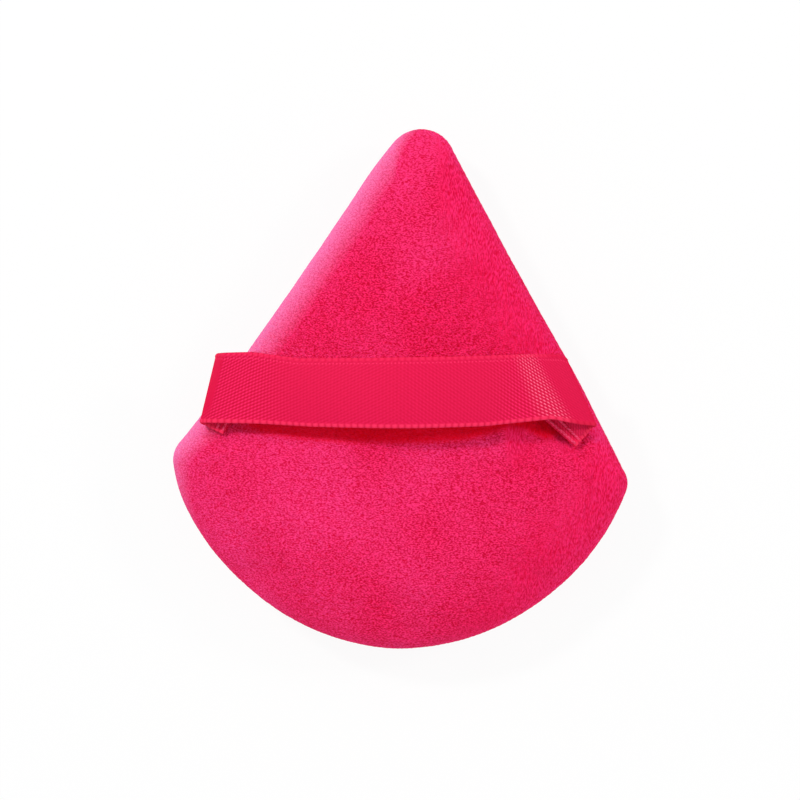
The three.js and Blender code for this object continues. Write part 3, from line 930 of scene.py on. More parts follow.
def read_attribute(tree, name):
    """A piece's own number, as a socket."""
    return add_node(tree, "ShaderNodeAttribute", attribute_name=name).outputs["Fac"]


def finish_shader(tree, colour, rough, height, bump, fixed):
    """Ends a finish: a bump of height with its strength and distance, and the Principled shader with its
    fixed values set on its sockets."""
    relief = add_node(tree, "ShaderNodeBump", {"Height": height, **bump})
    inputs = {"Base Color": colour, "Roughness": rough, "Normal": relief.outputs[0], **fixed}
    shader = add_node(tree, "ShaderNodeBsdfPrincipled", inputs)
    add_node(tree, "ShaderNodeOutputMaterial", {"Surface": shader.outputs[0]})


print("finish helpers ready")

# %% Velour material
VELOUR_GRAIN = 4200.0
# How the grain is drawn out, on most of the puff and on slopes to the right
VELOUR_DRAW_OUT = ((0.72, 1.3, 1.0), (1.4, 0.34, 0.6))
GRAIN_SHARE = 0.85
# Each colour goes from the pile's roots to its tips, and so does the roughness. Besides dye, three of
# them hold painted light: highlights, light on the right slopes and sheen on the left shoulder
VELOUR_COLOURS = {
    "plain": ((0.56, 0.0001, 0.014), (1.0, 0.024, 0.16)),
    # Also the colour of the two painted highlights
    "brushed_and_lit": ((0.86, 0.004, 0.07), (1.0, 0.08, 0.35)),
    # Brighter, more even pile on the slopes to the right: partly its wales standing up, partly painted light
    "lit_right_slopes": ((0.88, 0.004, 0.065), (1.0, 0.022, 0.17)),
    # Painted sheen of the left shoulder
    "painted_sheen": ((0.95, 0.11, 0.33), (1.0, 0.255, 0.55)),
}
BRUSH_AND_LIGHT_RANGE = (-1.5, 2.5)
BRUSH_AND_LIGHT_SHARE = 0.6
LIT_RIGHT_SLOPE_SHARE = 0.45
PAINTED_SHEEN_RANGE = (0.48, 0.95)
# Painted shadow below the strap: how much of it, and its colour
STRAP_SHADOW_SHARE = 0.8
STRAP_SHADOW_COLOUR = (1.0, 0.0, 0.012)
VELOUR_ROUGH = (0.95, 0.8)
VELOUR_BUMP = {"Strength": 0.6, "Distance": 0.00035}
VELOUR_SHADER = {
    "Specular IOR Level": 0.03, "Subsurface Weight": 0.3, "Subsurface Radius": (1.0, 0.1, 0.2),
    "Subsurface Scale": 0.001, "Sheen Weight": 0.2, "Sheen Roughness": 0.4, "Sheen Tint": (1.0, 0.08, 0.3, 1),
}


def velour_material():
    """Deep red roots and pink tips, drawn out sideways on most of the puff and up and down on its right
    slopes. Over them lie patches of brushing with two painted highlights, a brighter colour on those slopes
    that is partly painted light, a painted sheen on the left shoulder and the strap's painted shadow below
    its lower edge."""
    material, tree = new_material("pink_velour")
    place = add_node(tree, "ShaderNodeTexCoord").outputs["Object"]
    grains = [fibres(place, VELOUR_GRAIN, draw_out) for draw_out in VELOUR_DRAW_OUT]
    rightward = read_attribute(tree, "rightward")
    mask, height = [mix_values(rightward, level, lit_right_slopes) for level, lit_right_slopes in zip(*grains)]
    depth = times_plus(mask, GRAIN_SHARE, times(read_attribute(tree, "pile"), 1 - GRAIN_SHARE))
    tones = {name: mix_colours(depth, *pair) for name, pair in VELOUR_COLOURS.items()}
    # Patches of brushing, two of them painted highlights
    patches = ramp(read_attribute(tree, "brush_and_highlight"), *BRUSH_AND_LIGHT_RANGE, top=BRUSH_AND_LIGHT_SHARE)
    colour = mix_colours(patches, tones["plain"], tones["brushed_and_lit"])
    # Brighter on the slopes to the right, partly painted light
    colour = mix_colours(times(rightward, LIT_RIGHT_SLOPE_SHARE), colour, tones["lit_right_slopes"])
    # Painted sheen on the left shoulder, as if lit from the upper left
    colour = mix_colours(ramp(read_attribute(tree, "leftward"), *PAINTED_SHEEN_RANGE), colour, tones["painted_sheen"])
    # Painted shadow of the strap below its lower edge
    colour = mix_colours(times(read_attribute(tree, "under"), STRAP_SHADOW_SHARE), colour, STRAP_SHADOW_COLOUR)
    finish_shader(tree, colour, between(mask, *VELOUR_ROUGH), height, VELOUR_BUMP, VELOUR_SHADER)
    return material


pink_velour = velour_material()
back_cover.data.materials.append(pink_velour)
face_cover.data.materials.append(pink_velour)
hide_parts("back_panel")
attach(back_cover, "back")
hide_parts("face_panel")
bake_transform(face_cover)
print("velour on both covers")

# %% [markdown]
# ## Foam core
# The filling is a slab of cut foam that follows the covers from inside, with a groove where the seam
# allowances lie. It is never seen, but the model keeps it. Two square grids, above and below the seam,
# are joined at their rims. Small pits over the surface are the open cells of the foam.

# %% Foam core
FOAM_POINTS = 121
FOAM_INSET = 1.9
FOAM_GROOVE = 1.2
FOAM_PIT = 0.12
FOAM_PIT_STRETCH = 0.45
FOAM_PITTED = 0.9

foam_shrink = 1 - (FOAM_INSET + FOAM_GROOVE) / crown_reach
foam_flatten = 1 - FOAM_INSET / ((FACE_DEPTH + CROWN_HEIGHT) / 2)


def foam_half(profile, way):
    """One half: the cover's surface drawn in towards the crown and towards the seam, with pits in it."""
    surface, laid_out, out = cover_points(profile, FOAM_POINTS)
    normals = grid_normals(surface) * way
    pits = FOAM_PIT * np.minimum(0, read_field(tuft_field, laid_out * FOAM_PIT_STRETCH))
    flat = CROWN + (surface[..., :2] - CROWN) * foam_shrink
    height = FACE_DEPTH + (surface[..., 2:] - FACE_DEPTH) * foam_flatten
    return np.concatenate([flat, height], axis=-1) + normals * (pits * (out < FOAM_PITTED))[..., None]


foam_top = foam_half(back_profile, 1)
foam_top[..., 2] += finer(back_change, FOAM_POINTS)[..., 2]
foam_low = foam_half(face_profile, -1)
foam_points = np.concatenate([foam_top.reshape(-1, 3), foam_low.reshape(-1, 3)])
half = FOAM_POINTS * FOAM_POINTS
top_rim, low_rim = rim_numbers(FOAM_POINTS), rim_numbers(FOAM_POINTS, half)
band = np.stack([top_rim, low_rim, np.roll(low_rim, -1), np.roll(top_rim, -1)], axis=1)
low_quads = grid_quads(FOAM_POINTS, FOAM_POINTS, half)
foam_quads = np.concatenate([grid_quads(FOAM_POINTS, FOAM_POINTS), low_quads[:, ::-1], band[:, ::-1]])
foam_filling = put_mesh("foam_filling", foam_points, foam_quads)
print("foam core: %d points" % len(foam_points))

# %% Foam material
FOAM_CELLS = 1400.0
FOAM_DYES = ((0.72, 0.66, 0.55), (0.9, 0.86, 0.77))
FOAM_ROUGH = (0.85, 0.95)
FOAM_BUMP = {"Strength": 0.6, "Distance": 0.0004}
FOAM_SHADER = {"Specular IOR Level": 0.2}


def foam_material():
    """Cream foam with small round cells, darker inside."""
    material, tree = new_material("cream_foam")
    place = add_node(tree, "ShaderNodeTexCoord").outputs["Object"]
    cells = add_node(tree, "ShaderNodeTexVoronoi", {"Vector": place, "Scale": FOAM_CELLS}).outputs["Distance"]
    colour = mix_colours(cells, *FOAM_DYES)
    finish_shader(tree, colour, between(cells, *FOAM_ROUGH), cells, FOAM_BUMP, FOAM_SHADER)
    return material


foam_filling.data.materials.append(foam_material())
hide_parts("foam_core")
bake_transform(foam_filling)
print("foam finished")

# %% [markdown]
# ## Ribbon strap
# The strap is one length of narrow woven ribbon with a beaded selvedge along both edges. A path of lines
# across the ribbon runs from the left tail through its fold, over the span and back under the right fold.
# A flat section with thick beaded edges is carried along it.

# %% Lines across the ribbon
RIBBON_THICKNESS = 0.4
FINGER_GAP = 6.0
STRAP_TOP = FACE_DEPTH + CROWN_HEIGHT + FINGER_GAP + RIBBON_THICKNESS / 2
SEAT_GAP = 0.35
TAIL_FALL = 1.2
# How far each selvedge strays towards the tip: pairs of distance along the strap and stray, in mm
HIGH_STRAY = np.array([(-31, 0.2), (-23, 0.45), (-16, -0.3), (0, 0.2), (23, 0.4), (25, -0.5)])
LOW_STRAY = np.array([(-22, 0.3), (-14, 0.1), (12, 0.35), (22, 1.2), (26, 0.4), (30, 0)])


def back_height(places):
    """Height of the smooth back near one of its straight sides, as in the CAD part."""
    offset = places - CROWN
    toward = np.maximum(offset @ side_normal, offset @ (side_normal * MIRROR)) / crown_reach
    rise = np.sqrt(np.maximum(0, 1 - np.maximum(toward, 0) ** CROWN_FULLNESS))
    return FACE_DEPTH + (CROWN_HEIGHT - dimple(places)) * rise


def ribbon_lines(end, middle, slant, half_width, low_height, high_height, strayed):
    """Lines across the ribbon: the middle point -/+ half the width, turned by slant from the strap's own
    cross direction, each with its two heights. strayed, from 0 to 1, moves the ends by their stray.
    Gives an array of (line, side, xyz)."""
    way = np.cos(slant)[:, None] * strap_across - np.sin(slant)[:, None] * end["outward"]
    way = way * half_width[:, None]
    selvedges = ((middle - way, low_height, LOW_STRAY), (middle + way, high_height, HIGH_STRAY))
    sides = []
    for place, height, stray in selvedges:
        move = np.interp((place - strap_middle) @ strap_along, *stray.T) * strayed
        sides.append(np.concatenate([place + move[:, None] * strap_across, height[:, None]], axis=1))
    return np.stack(sides, axis=1)


def tail_lines(end, length):
    """The tail at lengths from the fold's foot: it lies on the back, then falls towards the fold."""
    spread = np.minimum(1, length / end["tack_length"])
    slant = end["slant"] * (1 + spread)
    half_width = RIBBON_WIDTH / 2 / np.cos(2 * end["slant"] - slant)
    middle = end["foot"] + length[:, None] * end["tail_way"]
    seat = end["foot"] + np.maximum(length, end["tack_length"])[:, None] * end["tail_way"]
    reach = end["tack_way"] * RIBBON_WIDTH / 2
    fall = TAIL_FALL * (1 - spread) ** 2
    heights = [back_height(seat + side * reach) + SEAT_GAP - fall for side in (-1, 1)]
    return ribbon_lines(end, middle, slant, half_width, *heights, np.zeros(len(length)))


def fold_lines(end, turn):
    """The fold at turns round its loop, a half ellipse from -90 degrees at its foot."""
    foot = tail_lines(end, np.zeros(1))[0]
    rise = FOLD_LOOP_HEIGHT / 2 * (1 + np.sin(turn))
    middle = end["foot"] + FOLD_LOOP_REACH * np.cos(turn)[:, None] * end["outward"]
    slant = np.full(len(turn), end["slant"])
    half_width = RIBBON_WIDTH / 2 / np.cos(slant)
    strayed = smooth_step(turn, -math.pi / 2, FOLD_LOOP_END)
    return ribbon_lines(end, middle, slant, half_width, foot[0, 2] + rise, foot[1, 2] + rise, strayed)


print("strap top at %.1f mm" % STRAP_TOP)

# %% Span of the strap over the finger gap
FOLD_TURN_LENGTH = 12.0
STRAP_BOW = 0.5
BOW_FROM = 2
STRAP_TILT = 0.5
TILT_OVER = (6, 22)
STRAP_EASE = 8.0

left_end.update(knees=(3.4, 1.2), knee_height=17.8, knee_round=0.3)
right_end.update(knees=(5.0, 5.0), knee_height=19.4, knee_round=0.4)


def soft_min(first, second, reach):
    """The smaller of two heights, rounded where they cross: -reach * ln(exp(-a/reach) + exp(-b/reach))."""
    return -reach * np.logaddexp(-first / reach, -second / reach)


def eased(distance):
    """A distance that starts slowly: sqrt(d^2 + ease^2) - ease, flat at 0 and even further out."""
    return np.sqrt(distance ** 2 + STRAP_EASE ** 2) - STRAP_EASE


def span_lines(end, distance):
    """The span at distances in from the fold. Each selvedge climbs a steep leg up to its knee, then eases
    to STRAP_TOP as top - drop * eased(out) / eased(knee out). The lower of the two heights is taken."""
    start = fold_lines(end, np.array([FOLD_LOOP_END]))[0]
    slant = end["slant"] * (1 - smooth_step(distance, 0, FOLD_TURN_LENGTH))
    half_width = RIBBON_WIDTH / 2 / np.cos(slant)
    reach = end["span_reach"] - distance
    bow = STRAP_BOW * smooth_step(distance, BOW_FROM, end["span_reach"])
    middle = strap_middle + reach[:, None] * end["outward"] - bow[:, None] * strap_across
    heights = []
    for side, knee, foot in zip((1, -1), end["knees"], start):
        out = reach + side * half_width * np.sin(slant)
        fold_out = (foot[:2] - strap_middle) @ end["outward"]
        leg = foot[2] + (end["knee_height"] - foot[2]) * (fold_out - out) / knee
        drop_share = eased(np.maximum(out, 0)) / eased(fold_out - knee)
        top = STRAP_TOP + side * STRAP_TILT * smooth_step(distance, *TILT_OVER)
        heights.append(soft_min(leg, top - (top - end["knee_height"]) * drop_share, end["knee_round"]))
    return ribbon_lines(end, middle, slant, half_width, *heights, np.ones(len(distance)))


print("span reaches %.1f and %.1f mm" % (left_end["span_reach"], right_end["span_reach"]))

# %% Even lines from one cut end to the other
TAIL_LINES = 60
FOLD_LINES = 40
SPAN_LINES = 300
RIBBON_STEPS = 860
CORNER_EASE = 0.3


def half_strap(end):
    """One half of the ribbon, from the cut end of its tail to the middle of the span."""
    tail = tail_lines(end, np.linspace(end["tail_length"], 0, TAIL_LINES))
    fold = fold_lines(end, np.linspace(-math.pi / 2, FOLD_LOOP_END, FOLD_LINES)[1:])
    span = span_lines(end, np.linspace(0, end["span_reach"], SPAN_LINES)[1:])
    return np.concatenate([tail, fold, span])


def even_lines(lines, count, round_off):
    """The lines spaced evenly along the ribbon, with corners eased over round_off millimetres."""
    run = run_along(lines.mean(1))
    place = np.linspace(0, run[-1], count)
    even = read_along(place, run, lines.reshape(len(lines), 6))
    reach = int(3 * round_off / place[1])
    bell = np.exp(-0.5 * (np.arange(-reach, reach + 1) * place[1] / round_off) ** 2)
    bell = bell / bell.sum()
    padded = np.concatenate([2 * even[0] - even[reach:0:-1], even, 2 * even[-1] - even[-2:-reach - 2:-1]])
    rounded = np.stack([np.convolve(column, bell, "valid") for column in padded.T], axis=1)
    return rounded.reshape(count, 2, 3), place


lines = np.concatenate([half_strap(left_end), half_strap(right_end)[-2::-1]])
lines, ribbon_place = even_lines(lines, RIBBON_STEPS, CORNER_EASE)
ribbon_length = ribbon_place[-1]
print("ribbon: %.1f mm long" % ribbon_length)

# %% Ground of the ribbon, seated on the back
SECTION_POINTS = 44
EDGE_CROWDING = 1.3
RIBBON_ARCH = 0.7
ARCH_FROM_END = (11, 26)
SEAT_LIFT = 0.28
SKIN_MARGIN = 1
TAIL_MARGIN = 0.6

across = np.sin(np.linspace(-1, 1, SECTION_POINTS) * EDGE_CROWDING) / math.sin(EDGE_CROWDING)
cross = (lines[:, 1] - lines[:, 0]) / 2
ground = lines.mean(1)[:, None] + cross[:, None] * across[None, :, None]
back_skin = back_surface.reshape(-1, 3)


def lift_over(points, cover):
    """Raises points to at least SEAT_LIFT over the nearest point, in plan, of a cover."""
    flat = points[..., :2].reshape(-1, 2)
    low, high = flat.min(0) - SKIN_MARGIN, flat.max(0) + SKIN_MARGIN
    near = cover[np.all((cover[:, :2] > low) & (cover[:, :2] < high), axis=1)]
    gaps = (flat ** 2).sum(1)[:, None] + (near[:, :2] ** 2).sum(1)[None] - 2 * flat @ near[:, :2].T
    floor_height = near[gaps.argmin(1), 2].reshape(points.shape[:2]) + SEAT_LIFT
    points[..., 2] = np.maximum(points[..., 2], floor_height)


def strap_normals(points):
    """Normals of the ribbon's grid, turned so that the middle of the strap faces up."""
    normals = grid_normals(points)
    return -normals if normals[RIBBON_STEPS // 2, SECTION_POINTS // 2, 2] < 0 else normals


from_cut = ribbon_length - ribbon_place
on_left = ribbon_place < left_end["tail_length"] - TAIL_MARGIN
on_right = ribbon_place > ribbon_length - right_end["tail_length"] + TAIL_MARGIN
for on_tail in (on_left, on_right):
    tail = ground[on_tail]
    lift_over(tail, back_skin)
    ground[on_tail] = tail
arch = RIBBON_ARCH * smooth_step(np.minimum(ribbon_place, from_cut), *ARCH_FROM_END)
ground = ground + strap_normals(ground) * (arch[:, None] * (1 - across ** 2)[None, :])[..., None]
faces = strap_normals(ground)
print("tails seated on the back")

# %% Woven section carried along the ground
BODY_HALF = 0.15
CORD_HALF = 0.2
CORD_FROM = 0.895
CORD_EASE = 0.015
CORD_ROUND = 1.6
BEAD_RISE = 0.1
BEAD_PITCH = 1.0
BEAD_POWER = 0.5
BEAD_MIDDLE = 0.6
# The beads lie flat round the right fold: they stop and start over these distances from the cut end
BEADS_STOP = (5, 7)
BEADS_START = (12, 14)

edge_share = np.abs(across)
on_cord = smooth_step(edge_share, CORD_FROM - CORD_EASE, CORD_FROM + CORD_EASE)
bead = np.abs(np.sin(math.pi * ribbon_place / BEAD_PITCH)) ** BEAD_POWER
bead_show = 1 - smooth_step(from_cut, *BEADS_STOP) * (1 - smooth_step(from_cut, *BEADS_START))
bead_rise = BEAD_RISE * bead_show * (bead - BEAD_MIDDLE)
half = BODY_HALF + on_cord[None, :] * (CORD_HALF - BODY_HALF + bead_rise[:, None])
half = half * np.sqrt(np.clip((1 - edge_share) / (1 - CORD_FROM) * CORD_ROUND, 0, 1))[None, :]
upper = ground + faces * half[..., None]
lower = ground - faces * half[..., None]
print("selvedges up to %.2f mm thick" % (2 * half.max()))

# %% Ribbon's mesh, with the map and numbers its material reads
BEAD_LEAST_TINT = 0.4
STEEP_FACES = (0.6, 0.9)


def tube_quads(rings, around):
    """Quads of a tube, stored ring by ring: each ring of points is joined to the next one."""
    first = np.arange(rings - 1)[:, None] * around
    now = np.arange(around)
    later = np.roll(now, -1)
    quads = np.stack([first + now, first + later, first + around + later, first + around + now], axis=-1)
    return quads.reshape(-1, 4)


def set_map(piece, name, along, over):
    """A UV map of a piece from two numbers at each of its points."""
    numbers = np.zeros(len(piece.data.loops), np.int32)
    piece.data.loops.foreach_get("vertex_index", numbers)
    layer = piece.data.uv_layers.new(name=name)
    layer.data.foreach_set("uv", np.stack([along, over], axis=1)[numbers].astype(np.float32).ravel())


loop = np.concatenate([upper, lower[:, ::-1]], axis=1)
around = loop.shape[1]
cap = np.arange(SECTION_POINTS - 1)
cap = np.stack([cap, around - 1 - cap, around - 2 - cap, cap + 1], axis=1)
last_cap = cap[:, ::-1] + (RIBBON_STEPS - 1) * around
ribbon_quads = np.concatenate([tube_quads(RIBBON_STEPS, around), cap, last_cap])
ribbon_strap = put_mesh("ribbon_strap", loop.reshape(-1, 3), ribbon_quads)

loop_across = np.concatenate([across, across[::-1]]) * RIBBON_WIDTH / 2
set_map(ribbon_strap, "weave", np.repeat(ribbon_place, around), np.tile(loop_across, RIBBON_STEPS))
set_attribute(ribbon_strap, "selvedge", np.tile(np.concatenate([on_cord, on_cord[::-1]]), RIBBON_STEPS))
bead_tint = bead * (BEAD_LEAST_TINT + (1 - BEAD_LEAST_TINT) * bead_show)
set_attribute(ribbon_strap, "bead", np.repeat(bead_tint, around))
steep = 1 - smooth_step(np.abs(faces[..., 2]), *STEEP_FACES)
set_attribute(ribbon_strap, "steep", np.concatenate([steep, steep[:, ::-1]], axis=1))
print("ribbon: %d points" % len(ribbon_strap.data.vertices))

# %% [markdown]
# ## Ribbon finish
# The ribbon is a satin twill: fine diagonal floats, stepped by columns of picks, that catch the light at
# the bends, and a row of picked beads along each selvedge. Light and shade on the floats and beads are
# painted into their colour, most strongly at the bends. The pattern follows the cloth, so it is read
# from the ribbon's own map, which is laid out in millimetres along and across it.

# %% Ribbon weave
FLOAT_PITCH = 0.46
# The floats' direction, along and across the ribbon, on its left half and on its right
FLOAT_LEANS = ((-0.42, 0.907), (0.57, 0.82))
LEAN_CHANGE = 4.0
COLUMN_PITCH = 0.52
COLUMN_SHARE = 0.5
# The band at the right bend where the ribbon is smoother and its painted highlights lie
SHINE_PLACE = 59.6
SHINE_SLANT = 0.32
SHINE_REACH = (3.2, 0.5)
# Stretches along the ribbon over which the floats' relief and their painted light and shade grow: to the
# left bend, to the right one and back from it
LEFT_BEND = (24.0, 14.0)
RIGHT_BEND = (50.0, 58.0)
RIGHT_BEND_END = (SHINE_PLACE + 4.0, SHINE_PLACE + 2.0)
FLAT_WEAVE = 0.3
TAIL_EASE = 1.0


def ease(value, low, high):
    """0 at low and 1 at high, smooth between, where low may be the larger."""
    return ramp(value, low, high, interpolation="SMOOTHSTEP")


def wave(value, pitch):
    """sin(2 pi * value / pitch)."""
    return maths("SINE", times(value, 2 * math.pi / pitch))


def gap_to(value, place):
    """|value - place|."""
    return maths("ABSOLUTE", maths("SUBTRACT", value, place))


def weave_height(along, over):
    """Floats along diagonals that lean one way on the left half and the other way on the right, stepped by
    columns of picks."""
    floats = []
    for slope, level in FLOAT_LEANS:
        floats.append(wave(times_plus(along, slope, times(over, level)), FLOAT_PITCH))
    half_way = ribbon_length / 2
    turn = ease(along, half_way - LEAN_CHANGE, half_way + LEAN_CHANGE)
    return times_plus(wave(along, COLUMN_PITCH), COLUMN_SHARE, mix_values(turn, *floats))


def tail_mask(along):
    """1 on the two tails under the strap and 0 on the rest."""
    left = left_end["tail_length"]
    right = ribbon_length - right_end["tail_length"]
    return maths("MAXIMUM", ease(along, left, left - TAIL_EASE), ease(along, right, right + TAIL_EASE))


def standing(along, slanted, tail, steep):
    """How far the floats stand out, in relief and in their painted light and shade: fully at the two bends
    and on the tails, FLAT_WEAVE between, and not at all on steep parts."""
    stand = maths("MAXIMUM", ease(along, *LEFT_BEND), ease(along, *RIGHT_BEND))
    stand = maths("MAXIMUM", times(stand, ease(slanted, *RIGHT_BEND_END)), tail)
    return times(between(stand, FLAT_WEAVE, 1.0), maths("SUBTRACT", 1.0, steep))


print("floats every %.2f mm" % FLOAT_PITCH)

# %% Ribbon material
RIBBON_FIBRES = 2.4
RIBBON_DRAW_OUT = (0.6, 1.6, 1.0)
SHADE_RANGE = (-1.4, 1.4)
# Painted shade between the floats and painted highlights on their crests
FLOAT_LIGHT_AND_SHADE = ((0.6, 0.001, 0.034), (1.0, 0.022, 0.15))
# Painted shade in the gaps between the beads and painted light on the beads
BEAD_LIGHT_AND_SHADE = ((0.62, 0.002, 0.035), (0.94, 0.032, 0.115))
# What is laid over the floats' colours in turn: how much of it, and its colour. Wear and the dashes
# are the ribbon's own; the steep tint is painted shade, the tail tint painted light, and the glint tint
# painted highlights at the right bend
RIBBON_TINTS = {
    "worn": (0.2, (0.88, 0.009, 0.08)),
    # Painted shade on the steep legs of the folds
    "steep": (0.4, (0.74, 0.005, 0.05)),
    # Painted light on the tails, which lie in the strap's shadow
    "tail": (0.35, (1.0, 0.025, 0.13)),
    # Painted highlights on the float crests at the right bend
    "painted_glints": (0.95, (0.99, 0.15, 0.28)),
    "dashes": (0.6, (0.96, 0.035, 0.14)),
}
PAINTED_GLINT_RANGE = (0.66, 0.92)
DASH_PITCH = 0.55
DASH_ROW = 4.35
DASH_RANGE = (-0.2, 0.6)
DASH_WIDTH = (0.16, 0.04)
PLAINER_SIDE = (4.0, 5.0)
PLAINER_SHARE = 0.5
# Roughness of the plain ribbon and of its shine, and what crests and dull parts add to it
RIBBON_ROUGH = (0.7, 0.3)
CREST_ROUGH = -0.08
DULL_ROUGH = 0.4
FIBRE_BUMP = 0.5
RIBBON_BUMP = {"Strength": 0.6, "Distance": 0.00003}
RIBBON_SHADER = {"Specular IOR Level": 0.08}


def ribbon_material():
    """Satin twill on the weave map: painted shade between its floats and painted highlights on their crests.
    The right bend has a painted glint on its crests, steep parts are rougher and painted darker as shade,
    and painted light makes the tails lighter. A fine row of dashes runs inside one selvedge, and both
    selvedges have beads painted lighter than their gaps, plainer on the upper one."""
    material, tree = new_material("pink_satin_ribbon")
    cloth = add_node(tree, "ShaderNodeUVMap", uv_map="weave").outputs[0]
    along, over = add_node(tree, "ShaderNodeSeparateXYZ", {0: cloth}).outputs[:2]
    steep, selvedge = read_attribute(tree, "steep"), read_attribute(tree, "selvedge")
    slanted = times_plus(over, SHINE_SLANT, along)
    shine = ease(gap_to(slanted, SHINE_PLACE), *SHINE_REACH)
    tail = tail_mask(along)
    height = times(weave_height(along, over), standing(along, slanted, tail, steep))
    shade = ramp(height, *SHADE_RANGE)
    worn, fibre_height = fibres(cloth, RIBBON_FIBRES, RIBBON_DRAW_OUT)
    row = ease(gap_to(over, DASH_ROW), *DASH_WIDTH)
    places = {
        "worn": worn,
        "steep": steep,
        "tail": tail,
        "painted_glints": times(ease(shade, *PAINTED_GLINT_RANGE), shine),
        "dashes": times(ease(wave(along, DASH_PITCH), *DASH_RANGE), row),
    }
    colour = mix_colours(times(shade, shade), *FLOAT_LIGHT_AND_SHADE)
    for name, (share, tint) in RIBBON_TINTS.items():
        colour = mix_colours(times(places[name], share), colour, tint)
    beads = mix_colours(read_attribute(tree, "bead"), *BEAD_LIGHT_AND_SHADE)
    beaded = between(ease(over, *PLAINER_SIDE), 1.0, PLAINER_SHARE)
    colour = mix_colours(times(selvedge, beaded), colour, beads)
    rough = times_plus(shade, CREST_ROUGH, between(shine, *RIBBON_ROUGH))
    rough = times_plus(maths("MAXIMUM", steep, selvedge), DULL_ROUGH, rough)
    weave = times(height, maths("SUBTRACT", 1.0, selvedge))
    bump_height = times_plus(fibre_height, FIBRE_BUMP, weave)
    finish_shader(tree, colour, rough, bump_height, RIBBON_BUMP, RIBBON_SHADER)
    return material


ribbon_strap.data.materials.append(ribbon_material())
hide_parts("finger_strap", "strap_end_left", "strap_end_right")
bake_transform(ribbon_strap)
print("ribbon finished")

# %% [markdown]
# ## Threads
# Sewing thread is two or three plies twisted together. Each stitch is a short arch that goes into the
# cloth at both ends, so each thread is a round section carried along a line of arches, with the twist
# of the plies left to the material.

# %% Thread tubes
THREAD_SIDES = 8


def thread_tube(name, path, radius, beside):
    """A tube along a path: at each point a ring of radius in the plane across the path. beside is a
    direction that the path never runs along, used to set the ring's first axis."""
    tangent = unit(np.gradient(path, axis=0))
    first = unit(np.cross(tangent, beside))
    second = np.cross(tangent, first)
    now = np.arange(THREAD_SIDES)
    later = np.roll(now, -1)
    turn = now * 2 * math.pi / THREAD_SIDES
    ring = np.cos(turn)[None, :, None] * first[:, None] + np.sin(turn)[None, :, None] * second[:, None]
    points = (path[:, None] + radius * ring).reshape(-1, 3)
    last = (len(path) - 1) * THREAD_SIDES
    tip = np.full(THREAD_SIDES, len(points))
    caps = np.concatenate([np.stack([tip, later, now], axis=1),
                           np.stack([tip + 1, last + now, last + later], axis=1)])
    points = np.concatenate([points, path[[0, -1]]])
    piece = put_mesh(name, points, tube_quads(len(path), THREAD_SIDES), caps)
    run = run_along(path)
    along = np.concatenate([np.repeat(run, THREAD_SIDES), run[[0, -1]]])
    set_map(piece, "twist", along, np.concatenate([np.tile(now / THREAD_SIDES, len(path)), [0.0, 0.0]]))
    return piece


print("threads have %d sides" % THREAD_SIDES)

# %% Thread material
THREAD_TWIST = 0.5
THREAD_PLIES = 2
THREAD_FIBRES = 6.0
THREAD_DRAW_OUT = (1.0, 6.0, 1.0)
THREAD_LIGHT_AND_SHADE = ((0.85, 0.018, 0.09), (1.0, 0.09, 0.25))
PLY_SHARE = 0.75
THREAD_ROUGH = (0.6, 0.5)
THREAD_BUMP = {"Strength": 0.5, "Distance": 0.0001}
THREAD_SHADER = {"Specular IOR Level": 0.1}


def thread_material():
    """Twisted plies: slanting stripes round the thread, painted lighter on top of each ply and deeper between
    as light and shade, in a pink that is lightened as painted light.
    """
    material, tree = new_material("pink_thread")
    twist = add_node(tree, "ShaderNodeUVMap", uv_map="twist").outputs[0]
    along, around = add_node(tree, "ShaderNodeSeparateXYZ", {0: twist}).outputs[:2]
    phase = times_plus(along, 2 * math.pi / THREAD_TWIST, times(around, 2 * math.pi * THREAD_PLIES))
    ply = times_plus(maths("SINE", phase), 0.5, 0.5)
    mask, _ = fibres(twist, THREAD_FIBRES, THREAD_DRAW_OUT)
    colour = mix_colours(times_plus(mask, 1 - PLY_SHARE, times(ply, PLY_SHARE)), *THREAD_LIGHT_AND_SHADE)
    finish_shader(tree, colour, between(ply, *THREAD_ROUGH), ply, THREAD_BUMP, THREAD_SHADER)
    return material


pink_thread = thread_material()


def finish_thread(piece, node):
    """Every thread stays with the back, as its CAD node does."""
    piece.data.materials.append(pink_thread)
    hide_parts(node)
    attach(piece, "back")
    print("%s: %d points" % (piece.name, len(piece.data.vertices)))


print("thread material: %d nodes" % len(pink_thread.node_tree.nodes))

# %% Tacks through the tails
TACK_STITCHES = 11
TACK_ROWS = (0.45, -0.65)
TACK_MARGIN = 0.05
TACK_RISE = 0.42
TACK_DIP = 0.12
TACK_RADIUS = 0.19
STITCH_POINTS = 14
# A direction between the tail's own, its sewn line and upright, which no stitch runs along
TACK_BESIDE = {"along": 0.3, "up": 0.5}


def tack_path(end):
    """Rows of back stitches along the tail's sewn line, there and back: share goes along the line, and each
    stitch is an arch of sqrt(|sin|) that dips into the ribbon at both ends."""
    turn = np.linspace(0, TACK_STITCHES, TACK_STITCHES * STITCH_POINTS + 1)
    share = TACK_MARGIN + (1 - 2 * TACK_MARGIN) * turn / TACK_STITCHES
    rows = []
    for setback in TACK_ROWS:
        sewn = tail_lines(end, np.full(len(turn), end["tack_length"] + setback))
        row = sewn[:, 0] + share[:, None] * (sewn[:, 1] - sewn[:, 0])
        lift_over(row[:, None], back_skin)
        row[:, 2] += BODY_HALF - TACK_DIP + TACK_RISE * np.sqrt(np.abs(np.sin(math.pi * turn)))
        rows.append(row)
    return np.concatenate([rows[0], rows[1][::-1]])


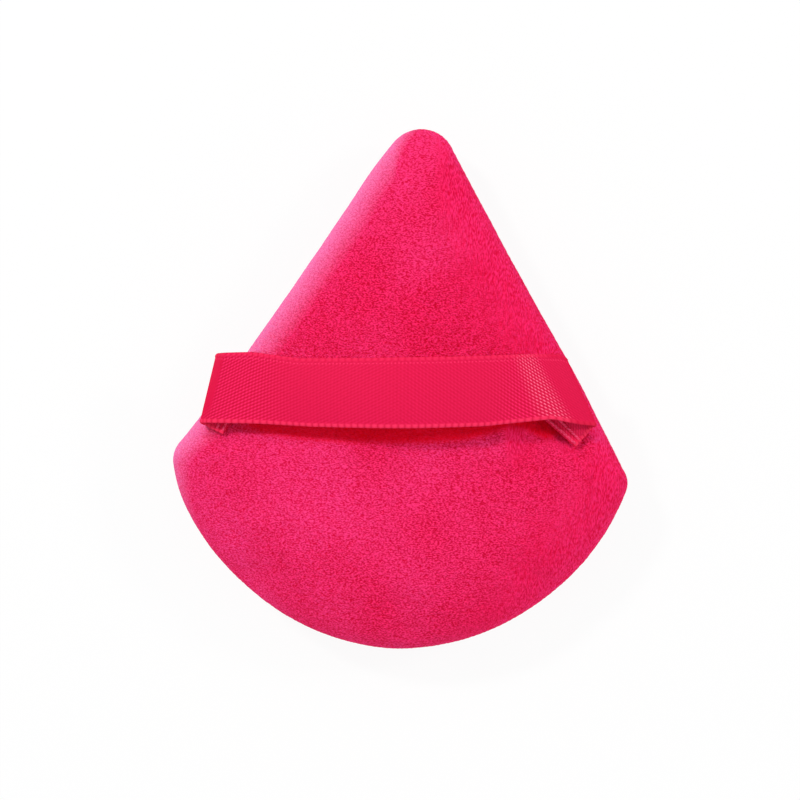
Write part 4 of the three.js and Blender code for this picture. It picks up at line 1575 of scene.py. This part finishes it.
for end, name in ((left_end, "strap_tack_left"), (right_end, "strap_tack_right")):
    beside = np.append(end["tail_way"] + TACK_BESIDE["along"] * end["tack_way"], TACK_BESIDE["up"])
    finish_thread(thread_tube(name + "_thread", tack_path(end), TACK_RADIUS, beside), name)

# %% Stretches of the sewn edge
CLOSING_LENGTH = 26.0
CLOSING_TURN = math.radians(-55)
CLOSING_MARGIN = 1.5
EDGE_STEPS = 8000

closing_half = CLOSING_LENGTH / 2 / BASE_RADIUS
seam_stop = closing_half + CLOSING_MARGIN / BASE_RADIUS
fine_edge = edge_point(np.linspace(0, PLACES_ROUND, EDGE_STEPS + 1)[:-1])
closing_gap = np.abs(np.arctan2(fine_edge[:, 1] - base_centre, fine_edge[:, 0]) - CLOSING_TURN)


def edge_run(chosen, step):
    """The chosen stretch of the edge in even steps, with its direction inwards and the distance along it."""
    first = int(np.flatnonzero(chosen & ~np.roll(chosen, 1))[0])
    route = np.roll(fine_edge, -first, axis=0)[np.roll(chosen, -first)]
    run = run_along(route)
    even = np.linspace(0, run[-1], int(run[-1] / step))
    route = read_along(even, run, route)
    return route, -outward_of(unit(np.gradient(route, axis=0))), even


print("seam open over %.0f mm" % CLOSING_LENGTH)

# %% Seam round the edge, and the closing stitches
SEAM_INSET = 0.45
SEAM_RADIUS = 0.2
SEAM_STITCH = 2.2
SEAM_DIP = 0.3
SEAM_DIP_POWER = 6
SEAM_STEP = 0.18
CLOSING_STITCHES = 13
CLOSING_INSET = 0.5
CLOSING_DIP = 0.3
CLOSING_DIP_POWER = 4
CLOSING_RISE = 0.75
CLOSING_STEP = 0.08

route, inward, run = edge_run(closing_gap > seam_stop, SEAM_STEP)
dip = SEAM_INSET + SEAM_DIP * np.abs(np.cos(math.pi * run / SEAM_STITCH)) ** SEAM_DIP_POWER
path = np.column_stack([route + inward * dip[:, None], np.full(len(route), FACE_DEPTH)])
finish_thread(thread_tube("edge_seam_thread", path, SEAM_RADIUS, np.array([0.0, 0.0, 1.0])), "edge_seam")

route, inward, run = edge_run(closing_gap < closing_half, CLOSING_STEP)
swing = np.sin(run / run[-1] * 2 * math.pi * CLOSING_STITCHES)
inset = CLOSING_INSET + CLOSING_DIP * np.abs(swing) ** CLOSING_DIP_POWER
path = np.column_stack([route + inward * inset[:, None], FACE_DEPTH + swing * CLOSING_RISE])
beside = np.column_stack([inward, np.zeros(len(inward))])
finish_thread(thread_tube("closing_stitches_thread", path, SEAM_RADIUS, beside), "closing_stitches")
